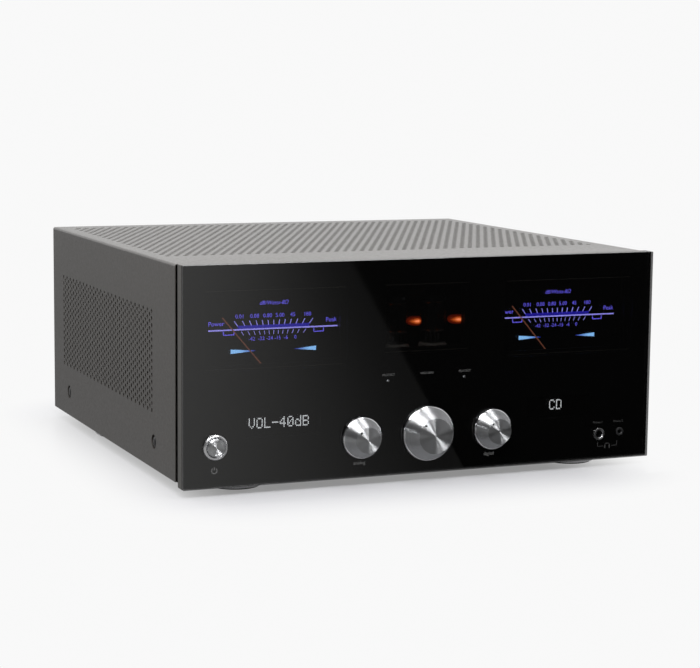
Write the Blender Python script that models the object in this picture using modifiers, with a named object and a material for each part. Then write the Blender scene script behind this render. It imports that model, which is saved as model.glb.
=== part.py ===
"""Integrated amplifier with a valve preamplifier stage, as an assembly of separate solids.

Metres, +Z up. X runs along the front panel, Y from the front to the back, and Z = 0 is the
surface that the rubber pads of the feet stand on. X = 0 is the middle of the front panel, and
Y = 0 is half way between the front of the volume knob and the ends of the speaker posts.
"""

import math

import bmesh
import bpy
from mathutils import Matrix, Vector

MM = 0.001
GAP = 0.3 * MM  # left between pieces that touch

# ---------------------------------------------------------------- driving dimensions
WIDTH = 430 * MM
PANEL_LOW, PANEL_HEIGHT = 6.9 * MM, 181.2 * MM  # lower edge above the ground, and size
CASE_DEPTH = 408 * MM  # front of the glass to the back of the cover
LAYOUT_Z = 8.5 * MM  # the level that the heights of the case and the controls are set from
KNOB_REACH = 17 * MM  # volume knob in front of the glass
POST_REACH = 28 * MM  # speaker posts behind the cover

GLASS_Y = (KNOB_REACH - CASE_DEPTH - POST_REACH) / 2
HALF = WIDTH / 2

# ---------------------------------------------------------------- layers behind the glass
GLASS_THICK = 3.0 * MM
FRAME_FRONT, FRAME_BACK = 3.3 * MM, 14.1 * MM
SUB_FRONT, SUB_BACK = 14.4 * MM, 16.0 * MM
BEHIND_SUB = 16.3 * MM
COVER_FRONT = 20.5 * MM
SHEET = 1.6 * MM
REAR_FACE = CASE_DEPTH - 0.3 * MM
REAR_THICK = 1.8 * MM

# ---------------------------------------------------------------- front layout
CONTROL_Z = LAYOUT_Z + 32.3 * MM
SELECTOR_X = 60.3 * MM
POWER_X = -188 * MM
METER_X, METER_Z = 134.6 * MM, LAYOUT_Z + 126.1 * MM  # centre of a meter window
METER_WINDOW = (117.3 * MM, 59.4 * MM)
LEDGE = 4.0 * MM  # rebate around a window in the frame
METER_LEDGE_DEPTH, TUBE_LEDGE_DEPTH = 10 * MM, 7 * MM
SCALE_X = 131.3 * MM  # centre line of a meter's scale and needle
PIVOT_Z = LAYOUT_Z + 82.3 * MM
NEEDLE_LENGTH = 68.7 * MM
NEEDLE_SWING = math.radians(40.6)  # each way from upright
TUBE_WINDOW = (73 * MM, 52 * MM)
TUBE_WINDOW_Z = LAYOUT_Z + 130 * MM
DISPLAY_X, DISPLAY_Z = 128.4 * MM, LAYOUT_Z + 46.8 * MM
DISPLAY_WINDOW = (66 * MM, 20 * MM)
STATUS_X, STATUS_Z = 35.2 * MM, LAYOUT_Z + 78 * MM
BIG_JACK = (165.0 * MM, LAYOUT_Z + 21.3 * MM)
SMALL_JACK = (185.4 * MM, LAYOUT_Z + 22.3 * MM)

SHAFT_HOLE_R = 4.8 * MM
BEZEL_HOLE_R = 9.1 * MM
BIG_JACK_HOLE_R, SMALL_JACK_HOLE_R = 4.6 * MM, 3.3 * MM

# ---------------------------------------------------------------- base, feet, screws
BASE_Z, FLANGE_TOP = 11.0 * MM, 48 * MM
FLANGE_X = HALF - 4.4 * MM
FLOOR_Z = BASE_Z + SHEET  # upper face of the base plate
FRONT_FOOT, REAR_FOOT = (157 * MM, 40.8 * MM), (181 * MM, 292 * MM)  # X, depth
COVER_TOP, COVER_BOTTOM = LAYOUT_Z + 178.9 * MM, LAYOUT_Z + 1.7 * MM
SCREW_DEPTHS, SCREW_Z = (78.8 * MM, 352 * MM), LAYOUT_Z + 24.5 * MM
POCKET_R, POCKET_DEPTH = 6.2 * MM, 2.2 * MM

# ---------------------------------------------------------------- valve stage
TUBE_X, TUBE_Y, TUBE_R = 17.5 * MM, 30 * MM, 11 * MM
SHELF_Z = 105 * MM
SOCKET_TOP = SHELF_Z + SHEET + GAP + 6.5 * MM
TUBE_HEIGHT = 51 * MM
LAMP_Z, LAMP_Y = 133 * MM, 25 * MM
LAMP_X = (1.0 * MM, 37.0 * MM)  # beside each tube, pointing at it

# ---------------------------------------------------------------- back
INLET_X, INLET_Z = -170 * MM, 46 * MM
ROCKER_X, ROCKER_Z = -170 * MM, 84 * MM
ROCKER_TILT = math.radians(10)
POST_PAIR_X, POST_PITCH, POST_Z = 70 * MM, 19.05 * MM, 44 * MM
RCA_X, RCA_Z, RCA_PITCH = 100 * MM, 132 * MM, (16 * MM, 20 * MM)
RCA_COLUMNS, RCA_ROWS = 7, 2
DIGITAL_X, DIGITAL_Z = -40 * MM, 132 * MM
BARREL_R, BARREL_REACH = 4.15 * MM, 9.5 * MM  # phono and coaxial sockets
BARREL_TIP = REAR_FACE + BARREL_REACH

PARTS_NAME, CUTTERS_NAME = "integrated_amplifier", "cutters"
SIDES = (("left", -1), ("right", 1))


def behind(depth):
    """Y of a plane that lies this deep behind the front of the glass."""
    return GLASS_Y + depth


# ---------------------------------------------------------------- scene helpers
def clear_scene():
    for obj in list(bpy.data.objects):
        bpy.data.objects.remove(obj, do_unlink=True)
    for name in (PARTS_NAME, CUTTERS_NAME):
        bpy.context.scene.collection.children.link(bpy.data.collections.new(name))


def material(name, colour, roughness, metallic=0.0):
    made = bpy.data.materials.new(name)
    made.use_nodes = True
    shader = made.node_tree.nodes["Principled BSDF"]
    shader.inputs["Base Color"].default_value = (*colour, 1.0)
    shader.inputs["Roughness"].default_value = roughness
    shader.inputs["Metallic"].default_value = metallic
    made.diffuse_color = (*colour, 1.0)
    return made


def add_object(name, mesh, finish=None, location=(0, 0, 0), rotation=(0, 0, 0)):
    """A new part, or a hidden cutter when it has no finish."""
    obj = bpy.data.objects.new(name, mesh)
    group = PARTS_NAME if finish else CUTTERS_NAME
    bpy.data.collections[group].objects.link(obj)
    obj.location = location
    obj.rotation_euler = rotation
    if finish:
        mesh.materials.append(finish)
    else:
        obj.hide_render = True
        obj.display_type = "WIRE"
    return obj


def box_mesh(name, size):
    mesh = bpy.data.meshes.new(name)
    bm = bmesh.new()
    bmesh.ops.create_cube(bm, size=1.0, matrix=Matrix.Diagonal((*size, 1.0)))
    bm.to_mesh(mesh)
    bm.free()
    return mesh


def box(name, low, high, finish=None):
    """A block between two corners, with its origin in its middle."""
    low, high = Vector(low), Vector(high)
    return add_object(name, box_mesh(name, high - low), finish, (low + high) / 2)


def bar(name, centre, reach, low_y, high_y, finish=None):
    """A block on the centre (X, Z) of a front layout, from one depth to another."""
    (x, z), (half_x, half_z) = centre, reach
    low = (x - half_x, behind(low_y), z - half_z)
    high = (x + half_x, behind(high_y), z + half_z)
    return box(name, low, high, finish)


def shade_round(mesh):
    mesh.shade_smooth()
    mesh.set_sharp_from_angle(angle=math.radians(35))


def rod(name, centre, radius, low_y, high_y, finish=None, sides=32):
    """A cylinder along Y on the centre (X, Z), from one depth to another."""
    mesh = bpy.data.meshes.new(name)
    bm = bmesh.new()
    length = high_y - low_y
    turn = Matrix.Rotation(math.radians(90), 4, "X")
    bmesh.ops.create_cone(
        bm, cap_ends=True, segments=sides, radius1=radius, radius2=radius, depth=length, matrix=turn
    )
    bm.to_mesh(mesh)
    bm.free()
    shade_round(mesh)
    place = (centre[0], behind((low_y + high_y) / 2), centre[1])
    return add_object(name, mesh, finish, place)


def turned(name, profile, finish, location, rotation=(0, 0, 0), steps=32, closed=False):
    """A solid of revolution about its local Z. The profile is (radius, height), top to bottom."""
    mesh = bpy.data.meshes.new(name)
    count = len(profile)
    edges = [(i, i + 1) for i in range(count - 1)]
    if closed:
        edges.append((count - 1, 0))
    mesh.from_pydata([(radius, 0, height) for radius, height in profile], edges, [])
    obj = add_object(name, mesh, finish, location, rotation)
    screw = obj.modifiers.new("turn", "SCREW")
    screw.steps = screw.render_steps = steps
    screw.use_merge_vertices = True
    screw.merge_threshold = 0.00001
    screw.use_smooth_shade = True
    return obj


def boolean(obj, other, operation):
    step = obj.modifiers.new(other.name, "BOOLEAN")
    step.operation = operation
    step.solver = "EXACT"
    step.object = other
    return obj


def cut(obj, *cutters):
    for cutter in cutters:
        boolean(obj, cutter, "DIFFERENCE")
    return obj


def unite(obj, *others):
    for other in others:
        boolean(obj, other, "UNION")
    return obj


def soften(obj, width, segments=1):
    step = obj.modifiers.new("edges", "BEVEL")
    step.width = width
    step.segments = segments
    step.limit_method = "ANGLE"
    step.angle_limit = math.radians(40)
    return obj


FACING_FRONT = (math.radians(90), 0, 0)  # turns local +Z to -Y
FACING_BACK = (math.radians(-90), 0, 0)


# ---------------------------------------------------------------- front panel
def control_holes(layer, low_y, high_y):
    """Cutters for every hole that a layer of the front needs for its controls."""
    holes = [
        ("volume", (0, CONTROL_Z), SHAFT_HOLE_R),
        ("analog", (-SELECTOR_X, CONTROL_Z), SHAFT_HOLE_R),
        ("digital", (SELECTOR_X, CONTROL_Z), SHAFT_HOLE_R),
        ("power", (POWER_X, CONTROL_Z), BEZEL_HOLE_R),
        ("big_jack", BIG_JACK, BIG_JACK_HOLE_R),
        ("small_jack", SMALL_JACK, SMALL_JACK_HOLE_R),
    ]
    return [
        rod(f"{layer}_{name}_hole", centre, radius, low_y, high_y, sides=16)
        for name, centre, radius in holes
    ]


def window_cutters(layer, low_y, high_y, spare=0.0):
    """Cutters for the meter, valve and display windows of a layer."""
    half = (METER_WINDOW[0] / 2 + spare, METER_WINDOW[1] / 2 + spare)
    tube_half = (TUBE_WINDOW[0] / 2 + spare, TUBE_WINDOW[1] / 2 + spare)
    display_half = (DISPLAY_WINDOW[0] / 2, DISPLAY_WINDOW[1] / 2)
    made = [bar(f"{layer}_tube_window", (0, TUBE_WINDOW_Z), tube_half, low_y, high_y)]
    for side, sign in SIDES:
        meter = (sign * METER_X, METER_Z)
        display = (sign * DISPLAY_X, DISPLAY_Z)
        made.append(bar(f"{layer}_meter_window_{side}", meter, half, low_y, high_y))
        made.append(bar(f"{layer}_display_window_{side}", display, display_half, low_y, high_y))
    return made


def make_front(glass_finish, frame_finish, steel):
    margin = 0.1 * MM
    panel_middle = (0, PANEL_LOW + PANEL_HEIGHT / 2)
    reach = (HALF - margin, PANEL_HEIGHT / 2 - margin)
    glass = bar("front_glass", panel_middle, reach, 0, GLASS_THICK, glass_finish)
    cut(soften(glass, 0.3 * MM), *control_holes("glass", -1 * MM, 5 * MM))

    reach = (HALF, PANEL_HEIGHT / 2)
    frame = bar("front_frame", panel_middle, reach, FRAME_FRONT, FRAME_BACK, frame_finish)
    soften(frame, 0.5 * MM)
    cut(frame, *control_holes("frame", 2 * MM, 16 * MM))
    cut(frame, *window_cutters("frame", 2 * MM, 16 * MM))
    half = (METER_WINDOW[0] / 2 + LEDGE, METER_WINDOW[1] / 2 + LEDGE)
    tube_half = (TUBE_WINDOW[0] / 2 + LEDGE, TUBE_WINDOW[1] / 2 + LEDGE)
    cut(frame, bar("tube_rebate", (0, TUBE_WINDOW_Z), tube_half, 1 * MM, TUBE_LEDGE_DEPTH))
    for side, sign in SIDES:
        centre = (sign * METER_X, METER_Z)
        cut(frame, bar(f"meter_rebate_{side}", centre, half, 1 * MM, METER_LEDGE_DEPTH))
        light = (sign * STATUS_X, STATUS_Z)
        cut(frame, rod(f"status_hole_{side}", light, 1.2 * MM, 2 * MM, 16 * MM, sides=12))

    tray_depth = 32 * MM
    low = (-HALF + 2.8 * MM, behind(SUB_FRONT), FLOOR_Z + GAP)
    high = (HALF - 2.8 * MM, behind(tray_depth), COVER_TOP - SHEET - 0.8 * MM)
    tray = box("front_subpanel", low, high, steel)
    low = (low[0] + SHEET, behind(SUB_BACK), low[2] + SHEET)
    high = (high[0] - SHEET, behind(tray_depth + 2 * MM), high[2] - SHEET)
    cut(tray, box("tray_hollow", low, high))
    cut(tray, *control_holes("tray", 12 * MM, 18 * MM))
    cut(tray, *window_cutters("tray", 12 * MM, 18 * MM, MM))


# ---------------------------------------------------------------- base, back and cover
def make_base(steel):
    low = (-FLANGE_X, behind(16.4 * MM), BASE_Z)
    high = (FLANGE_X, behind(REAR_FACE - REAR_THICK - GAP), FLANGE_TOP)
    base = box("base_chassis", low, high, steel)
    inside_low = (low[0] + SHEET, low[1] - MM, FLOOR_Z)
    inside_high = (high[0] - SHEET, high[1] + MM, FLANGE_TOP + MM)
    front_high = (HALF, behind(32.5 * MM), FLANGE_TOP + MM)
    cut(base, box("base_hollow", inside_low, inside_high))
    cut(base, box("base_front_notch", (-HALF, low[1] - MM, FLOOR_Z), front_high))
    for side, sign in SIDES:
        for place, depth in zip(("front", "rear"), SCREW_DEPTHS):
            name = f"flange_hole_{side}_{place}"
            x = sign * (FLANGE_X - SHEET / 2)
            cut(base, side_rod(name, x, depth, 2.3 * MM, 6 * MM))


def side_rod(name, x, depth, radius, length, finish=None, sides=16):
    """A cylinder along X at the height of the cover's screws."""
    obj = rod(name, (0, 0), radius, 0, length, finish, sides)
    obj.location = (x, behind(depth), SCREW_Z)
    obj.rotation_euler = (0, 0, math.radians(90))
    return obj


def cover_outline(radius=2.0 * MM, arc_steps=4):
    """The cover's outer outline in X and Z, from the lower left edge over the top."""
    points = [(-HALF, COVER_BOTTOM)]
    for corner, start in ((-1, 180), (1, 90)):
        cx, cz = corner * (HALF - radius), COVER_TOP - radius
        for i in range(arc_steps + 1):
            angle = math.radians(start - 90 * i / arc_steps)
            points.append((cx + radius * math.cos(angle), cz + radius * math.sin(angle)))
    points.append((HALF, COVER_BOTTOM))
    return points


def make_cover(paint):
    mesh = bpy.data.meshes.new("top_cover")
    bm = bmesh.new()
    rows = []
    for depth in (COVER_FRONT, CASE_DEPTH):
        rows.append([bm.verts.new((x, behind(depth), z)) for x, z in cover_outline()])
    for i in range(len(rows[0]) - 1):
        bm.faces.new((rows[0][i], rows[0][i + 1], rows[1][i + 1], rows[1][i]))
    bm.to_mesh(mesh)
    bm.free()
    cover = add_object("top_cover", mesh, paint)
    sheet = cover.modifiers.new("sheet", "SOLIDIFY")
    sheet.thickness = SHEET
    sheet.offset = -1.0
    sheet.use_even_offset = True
    for side, sign in SIDES:
        for place, depth in zip(("front", "rear"), SCREW_DEPTHS):
            name = f"{side}_{place}"
            boss_length = POCKET_DEPTH + SHEET - 0.5 * MM
            boss = side_rod(
                f"pocket_wall_{name}",
                sign * (HALF - 0.5 * MM - boss_length / 2),
                depth,
                POCKET_R + 1.5 * MM,
                boss_length,
            )
            pocket = side_rod(f"pocket_{name}", sign * HALF, depth, POCKET_R, 2 * POCKET_DEPTH)
            through = side_rod(f"pocket_hole_{name}", sign * HALF, depth, 2.3 * MM, 20 * MM)
            unite(cover, boss)
            cut(cover, pocket, through)


def make_screws(black):
    head = [(0, 1.9), (2.4, 1.7), (4.3, 1.1), (5.4, 0), (2.0, 0), (2.0, -9), (0, -9)]
    profile = [(r * MM, h * MM) for r, h in head]
    for side, sign in SIDES:
        for place, depth in zip(("front", "rear"), SCREW_DEPTHS):
            seat_x = sign * (HALF - POCKET_DEPTH + GAP)
            where = (seat_x, behind(depth), SCREW_Z)
            turn = (0, sign * math.radians(90), 0)
            turned(f"cover_screw_{side}_{place}", profile, black, where, turn, steps=14)


def make_rear_panel(steel):
    low = (-HALF + 2 * MM, behind(REAR_FACE - REAR_THICK), BASE_Z)
    high = (HALF - 2 * MM, behind(REAR_FACE), COVER_TOP - SHEET - 0.4 * MM)
    panel = box("rear_panel", low, high, steel)
    low_y, high_y = REAR_FACE - 6 * MM, REAR_FACE + 2 * MM
    openings = [
        ("inlet", (INLET_X, INLET_Z), (14.2 * MM, 10.5 * MM)),
        ("rocker", (ROCKER_X, ROCKER_Z), (14.2 * MM, 11.3 * MM)),
        ("rca", (RCA_X, RCA_Z), (RCA_COLUMNS * 8 * MM, 20 * MM)),
        ("digital", (DIGITAL_X, DIGITAL_Z), (50 * MM, 12 * MM)),
        ("speaker_left", (-POST_PAIR_X, POST_Z), (17 * MM, 8 * MM)),
        ("speaker_right", (POST_PAIR_X, POST_Z), (17 * MM, 8 * MM)),
    ]
    for name, centre, reach in openings:
        cut(panel, bar(f"rear_{name}_opening", centre, reach, low_y, high_y))


# ---------------------------------------------------------------- feet
def make_feet(chrome, rubber):
    shell = [
        (0, 10.7), (22.0, 10.7), (24.6, 9.4), (24.6, 4.2),
        (24.0, 2.2), (22.6, 1.3), (21.3, 1.3), (21.3, 3.4), (0, 3.4),
    ]
    pad = [(0, 3.1), (20.9, 3.1), (20.9, 0), (0, 0)]
    shell = [(r * MM, h * MM) for r, h in shell]
    pad = [(r * MM, h * MM) for r, h in pad]
    for place, (x, depth) in (("front", FRONT_FOOT), ("rear", REAR_FOOT)):
        for side, sign in SIDES:
            where = (sign * x, behind(depth), 0)
            turned(f"foot_{place}_{side}", shell, chrome, where, steps=24)
            turned(f"foot_pad_{place}_{side}", pad, rubber, where, steps=24)


# ---------------------------------------------------------------- controls
def knob_profile(face_r, rim_r, reach, stub=17.4):
    """Flared knob: a face, a slightly hollow cone, a rim, and the stub of its shaft."""
    middle_r = (face_r + rim_r) / 2 - 0.5
    outline = [
        (0, reach), (face_r - 0.5, reach), (face_r, reach - 0.4),
        (middle_r, reach * 0.56), (rim_r - 1.0, 3.4), (rim_r, 2.4),
        (rim_r, 1.0), (rim_r - 0.4, 0.7), (3.0, 0.7), (3.0, -stub), (0, -stub),
    ]
    return [(r * MM, h * MM) for r, h in outline]


def make_knob(name, x, face_r, rim_r, reach, mark_angle, finish):
    where = (x, GLASS_Y, CONTROL_Z)
    knob = turned(name, knob_profile(face_r, rim_r, reach), finish, where, FACING_FRONT, steps=32)
    mesh = bpy.data.meshes.new(f"{name}_mark")
    bm = bmesh.new()
    bmesh.ops.create_uvsphere(bm, u_segments=12, v_segments=8, radius=1.5 * MM)
    bm.to_mesh(mesh)
    bm.free()
    reach_to_mark = (face_r - 0.6) * MM
    mark = Vector((math.sin(mark_angle), 0, math.cos(mark_angle))) * reach_to_mark
    front = Vector((x, GLASS_Y - (reach + 0.5) * MM, CONTROL_Z))
    cut(knob, add_object(f"{name}_mark", mesh, None, front + mark))


def make_encoder(name, x, finish):
    centre = (x, CONTROL_Z)
    body = bar(name, centre, (9 * MM, 9 * MM), BEHIND_SUB, 27 * MM, finish)
    soften(body, 0.8 * MM)
    unite(body, rod(f"{name}_bushing", centre, 4.4 * MM, 1 * MM, 17 * MM, sides=16))
    cut(body, rod(f"{name}_bore", centre, 3.5 * MM, 0.4 * MM, 20 * MM, sides=16))


def make_power_button(chrome, cap_finish, black):
    centre = (POWER_X, CONTROL_Z)
    where = (POWER_X, GLASS_Y, CONTROL_Z)
    ring = [
        (8.0, 2.5), (8.5, 2.9), (9.4, 2.9), (10.5, 1.8), (10.5, 0.3),
        (8.7, 0.3), (8.7, -13.2), (8.0, -13.2),
    ]
    ring = [(r * MM, h * MM) for r, h in ring]
    turned("power_bezel", ring, chrome, where, FACING_FRONT, steps=24, closed=True)
    cap = [
        (0, 3.9), (5.3, 3.9), (5.7, 4.5), (6.7, 4.5), (7.4, 3.8), (7.4, -8.0),
        (2.5, -8.0), (2.5, -18.0), (0, -18.0),
    ]
    cap = [(r * MM, h * MM) for r, h in cap]
    turned("power_button", cap, cap_finish, where, FACING_FRONT, steps=24)
    switch = bar("power_switch", centre, (10 * MM, 10 * MM), BEHIND_SUB, 40 * MM, black)
    soften(switch, 0.6 * MM)
    cut(switch, rod("power_switch_bore", centre, 3.0 * MM, 14 * MM, 26 * MM, sides=20))


def make_jack(name, centre, ring_r, barrel_r, bore_r, block, depth, finish):
    """A headphone jack: a ring on the glass, a threaded barrel and a block behind the panel."""
    body = bar(name, centre, (block * MM, block * MM), BEHIND_SUB, (depth + 4) * MM, finish)
    barrel = rod(f"{name}_barrel", centre, barrel_r * MM, -0.6 * MM, 17 * MM, sides=20)
    ring = rod(f"{name}_ring", centre, ring_r * MM, -1.5 * MM, -0.3 * MM, sides=20)
    bore = rod(f"{name}_bore", centre, bore_r * MM, -3 * MM, depth * MM, sides=20)
    unite(body, barrel, ring)
    cut(body, bore)


# ---------------------------------------------------------------- meters and displays
def make_meter(side, sign, black, dial_finish, needle_finish):
    centre_x = sign * (METER_X - 0.6 * MM)
    half_x, low_z, high_z = 62.5 * MM, 74 * MM, 171 * MM
    wall, back = 1.8 * MM, 46 * MM
    pivot = (sign * SCALE_X, PIVOT_Z)
    low = (centre_x - half_x, behind(BEHIND_SUB), low_z)
    high = (centre_x + half_x, behind(back), high_z)
    housing = box(f"meter_housing_{side}", low, high, black)
    low = (low[0] + wall, low[1] - MM, low[2] + wall)
    high = (high[0] - wall, behind(back - wall), high[2] - wall)
    cut(housing, box(f"meter_hollow_{side}", low, high))
    unite(housing, rod(f"meter_boss_{side}", pivot, 7 * MM, 26 * MM, 45 * MM, sides=20))
    for end in (-1, 1):
        post = (centre_x + end * 52 * MM, 160 * MM)
        name = f"meter_post_{side}_{'in' if end == -sign else 'out'}"
        unite(housing, rod(name, post, 3 * MM, 20.4 * MM, 45 * MM, sides=12))

    dial_centre, dial_reach = (centre_x, 133.2 * MM), (60.2 * MM, 35.2 * MM)
    bar(f"meter_dial_{side}", dial_centre, dial_reach, 18.6 * MM, 20.1 * MM, dial_finish)

    where = (pivot[0], behind(17.4 * MM), pivot[1])
    rest = (0, -NEEDLE_SWING, 0)
    blade_low, blade_high = -12 * MM, NEEDLE_LENGTH
    blade_size = (0.9 * MM, 0.5 * MM, blade_high - blade_low)
    mesh = box_mesh(f"meter_needle_{side}", blade_size)
    mesh.transform(Matrix.Translation((0, 0, (blade_low + blade_high) / 2)))
    needle = add_object(f"meter_needle_{side}", mesh, needle_finish, where, rest)
    hub = rod(f"needle_hub_{side}", pivot, 3.6 * MM, 16.9 * MM, 25.6 * MM, sides=20)
    low, high = (-2.2 * MM, -0.5 * MM, -13 * MM), (2.2 * MM, 0.5 * MM, -8 * MM)
    weight = box(f"needle_weight_{side}", low, high)
    weight.location = Vector(where) + Matrix.Rotation(rest[1], 3, "Y") @ weight.location
    weight.rotation_euler = rest
    unite(needle, hub, weight)


def make_display(side, sign, finish):
    centre = (sign * DISPLAY_X, DISPLAY_Z)
    module = bar(f"display_module_{side}", centre, (36 * MM, 13 * MM), 16.5 * MM, 22 * MM, finish)
    unite(module, bar(f"display_face_{side}", centre, (31 * MM, 8.5 * MM), 12.5 * MM, 18 * MM))


# ---------------------------------------------------------------- valve stage
def make_valve_stage(glass, ceramic, steel, amber):
    shelf_half, back = 62 * MM, 62 * MM
    low = (-shelf_half, behind(BEHIND_SUB), SHELF_Z)
    shelf = box("tube_shelf", low, (shelf_half, behind(back), SHELF_Z + SHEET), steel)
    wall_low = (-shelf_half, behind(back - SHEET), SHELF_Z)
    unite(shelf, box("tube_shelf_wall", wall_low, (shelf_half, behind(back), 172 * MM)))

    height = SOCKET_TOP - SHELF_Z - SHEET - GAP
    top_r, wall_r, slope = 11.0 * MM, 12.2 * MM, 1.5 * MM
    socket = [(0, height), (top_r, height), (wall_r, height - slope), (wall_r, 0), (0, 0)]
    envelope = [(0, 1.0), (0.045, 0.985), (0.12, 0.955), (0.2, 0.925), (0.5, 0.9), (0.8, 0.865)]
    envelope += [(0.96, 0.815), (1.0, 0.76), (1.0, 0.05), (0.93, 0.01), (0.85, 0.0), (0, 0)]
    profile = [(r * TUBE_R, h * TUBE_HEIGHT) for r, h in envelope]
    for side, sign in SIDES:
        foot = (sign * TUBE_X, behind(TUBE_Y), SHELF_Z + SHEET + GAP)
        turned(f"tube_socket_{side}", socket, ceramic, foot, steps=20)
        seat = (sign * TUBE_X, behind(TUBE_Y), SOCKET_TOP + GAP)
        turned(f"tube_{side}", profile, glass, seat, steps=20)

    strip_y = 44 * MM
    strip = bar("tube_lamp_strip", (0, LAMP_Z), (46 * MM, 5 * MM), strip_y, strip_y + SHEET, amber)
    lens = [(0, 5.0), (1.1, 4.7), (1.9, 3.9), (2.4, 2.6), (2.5, 1.6), (2.5, -1.0), (0, -1.0)]
    lens = [(r * MM, h * MM) for r, h in lens]
    turn = (0, math.radians(-90), 0)
    for i, x in enumerate(LAMP_X):
        arm_low = (x + 0.5 * MM, behind(LAMP_Y - 2 * MM), LAMP_Z - 2 * MM)
        arm_high = (x + 3.5 * MM, behind(strip_y + 0.5 * MM), LAMP_Z + 2 * MM)
        where = (x, behind(LAMP_Y), LAMP_Z)
        unite(strip, box(f"lamp_arm_{i}", arm_low, arm_high))
        unite(strip, turned(f"lamp_lens_{i}", lens, None, where, turn, steps=12))


# ---------------------------------------------------------------- inside
def make_heat_sink(side, sign, finish):
    """A plate with upright fins that face the vents in the side of the cover."""
    fins, pitch, fin_thick = 18, 15 * MM, 2.6 * MM
    inner, root, tip = 165 * MM, 171 * MM, 206 * MM
    start, height, taper = 92 * MM, 122 * MM, 0.5 * MM
    end = start + (fins - 1) * pitch + fin_thick
    outline = [(inner, end), (inner, start)]
    for i in range(fins):
        low = start + i * pitch
        high = low + fin_thick
        outline += [(root, low), (tip, low + taper), (tip, high - taper), (root, high)]
    mesh = bpy.data.meshes.new(f"heat_sink_{side}")
    bm = bmesh.new()
    ring = [bm.verts.new((sign * x, behind(y), FLOOR_Z + GAP)) for x, y in outline]
    bottom = bm.faces.new(ring)
    grown = bmesh.ops.extrude_face_region(bm, geom=[bottom])["geom"]
    top = [v for v in grown if isinstance(v, bmesh.types.BMVert)]
    bmesh.ops.translate(bm, verts=top, vec=(0, 0, height))
    bmesh.ops.triangulate(bm, faces=[f for f in bm.faces if len(f.verts) > 4])
    bmesh.ops.recalc_face_normals(bm, faces=bm.faces)
    bm.to_mesh(mesh)
    bm.free()
    add_object(f"heat_sink_{side}", mesh, finish)


def make_power_supply(winding, steel, sleeve, board):
    centre = (0, behind(150 * MM))
    hole_r, outer_r, base_z, height, corner = 24, 66, 14.5, 60, 9
    ring = []
    corners = ((outer_r - corner, height - corner, 90), (outer_r - corner, corner, 0))
    corners += ((hole_r + corner, corner, -90), (hole_r + corner, height - corner, -180))
    for r, h, start in corners:
        for i in range(3):
            angle = math.radians(start - 45 * i)
            ring.append((r + corner * math.cos(angle), h + corner * math.sin(angle)))
    ring = [(r * MM, h * MM) for r, h in ring]
    where = (*centre, base_z * MM)
    turned("toroidal_transformer", ring, winding, where, steps=28, closed=True)
    clamp = [(0, 7.0), (6.0, 7.0), (6.0, 2.4), (36, 2.4), (36, 0.3), (5, 0.3)]
    clamp += [(5, -61.4), (0, -61.4)]
    clamp = [(r * MM, h * MM) for r, h in clamp]
    turned("transformer_clamp", clamp, steel, (*centre, (base_z + height) * MM), steps=20)

    low = (-150 * MM, behind(236 * MM), 24 * MM)
    box("main_board", low, (150 * MM, behind(388 * MM), 25.6 * MM), board)
    can = [(0, 62), (22, 62), (24.5, 60), (25, 57), (25, 0), (0, 0)]
    can = [(r * MM, h * MM) for r, h in can]
    for side, sign in SIDES:
        where = (sign * 62 * MM, behind(268 * MM), 25.9 * MM)
        turned(f"reservoir_capacitor_{side}", can, sleeve, where, steps=20)


# ---------------------------------------------------------------- back
def make_inlet(black):
    centre, face = (INLET_X, INLET_Z), REAR_FACE
    inlet = bar("mains_inlet", centre, (25 * MM, 13.5 * MM), face + GAP, face + 2.8 * MM, black)
    soften(inlet, 0.8 * MM)
    body = bar("inlet_body", centre, (13.8 * MM, 10.1 * MM), face - 24 * MM, face + MM)
    recess = bar("inlet_recess", centre, (12.3 * MM, 8.5 * MM), face - 16 * MM, face + 5 * MM)
    cut(unite(inlet, body), recess)


def make_mains_switch(black, rocker_finish):
    centre, face = (ROCKER_X, ROCKER_Z), REAR_FACE
    reach = (15.5 * MM, 12.8 * MM)
    flange = bar("mains_switch_frame", centre, reach, face + GAP, face + 2.2 * MM, black)
    soften(flange, 0.6 * MM)
    body = bar("switch_body", centre, (13.8 * MM, 10.9 * MM), face - 22 * MM, face + MM)
    hollow = bar("switch_hollow", centre, (12.2 * MM, 9.4 * MM), face - 14 * MM, face + 5 * MM)
    cut(unite(flange, body), hollow)

    half_width = 11.6 * MM
    section = [(4.2, 0.0), (6.6, 7.6), (-4.5, 7.2), (-4.5, -7.2), (6.6, -7.6)]
    mesh = bpy.data.meshes.new("mains_rocker")
    bm = bmesh.new()
    ring = [bm.verts.new((-half_width, out * MM, up * MM)) for out, up in section]
    side = bm.faces.new(ring)
    grown = bmesh.ops.extrude_face_region(bm, geom=[side])["geom"]
    far = [v for v in grown if isinstance(v, bmesh.types.BMVert)]
    bmesh.ops.translate(bm, verts=far, vec=(2 * half_width, 0, 0))
    bmesh.ops.triangulate(bm, faces=[f for f in bm.faces if len(f.verts) > 4])
    bmesh.ops.recalc_face_normals(bm, faces=bm.faces)
    bm.to_mesh(mesh)
    bm.free()
    where = (ROCKER_X, behind(REAR_FACE - 3.0 * MM), ROCKER_Z)
    add_object("mains_rocker", mesh, rocker_finish, where, (-ROCKER_TILT, 0, 0))


def post_places():
    """X of the four speaker posts, from the left of the front view to the right."""
    return [pair * POST_PAIR_X + end * POST_PITCH / 2 for pair in (-1, 1) for end in (-1, 1)]


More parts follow.
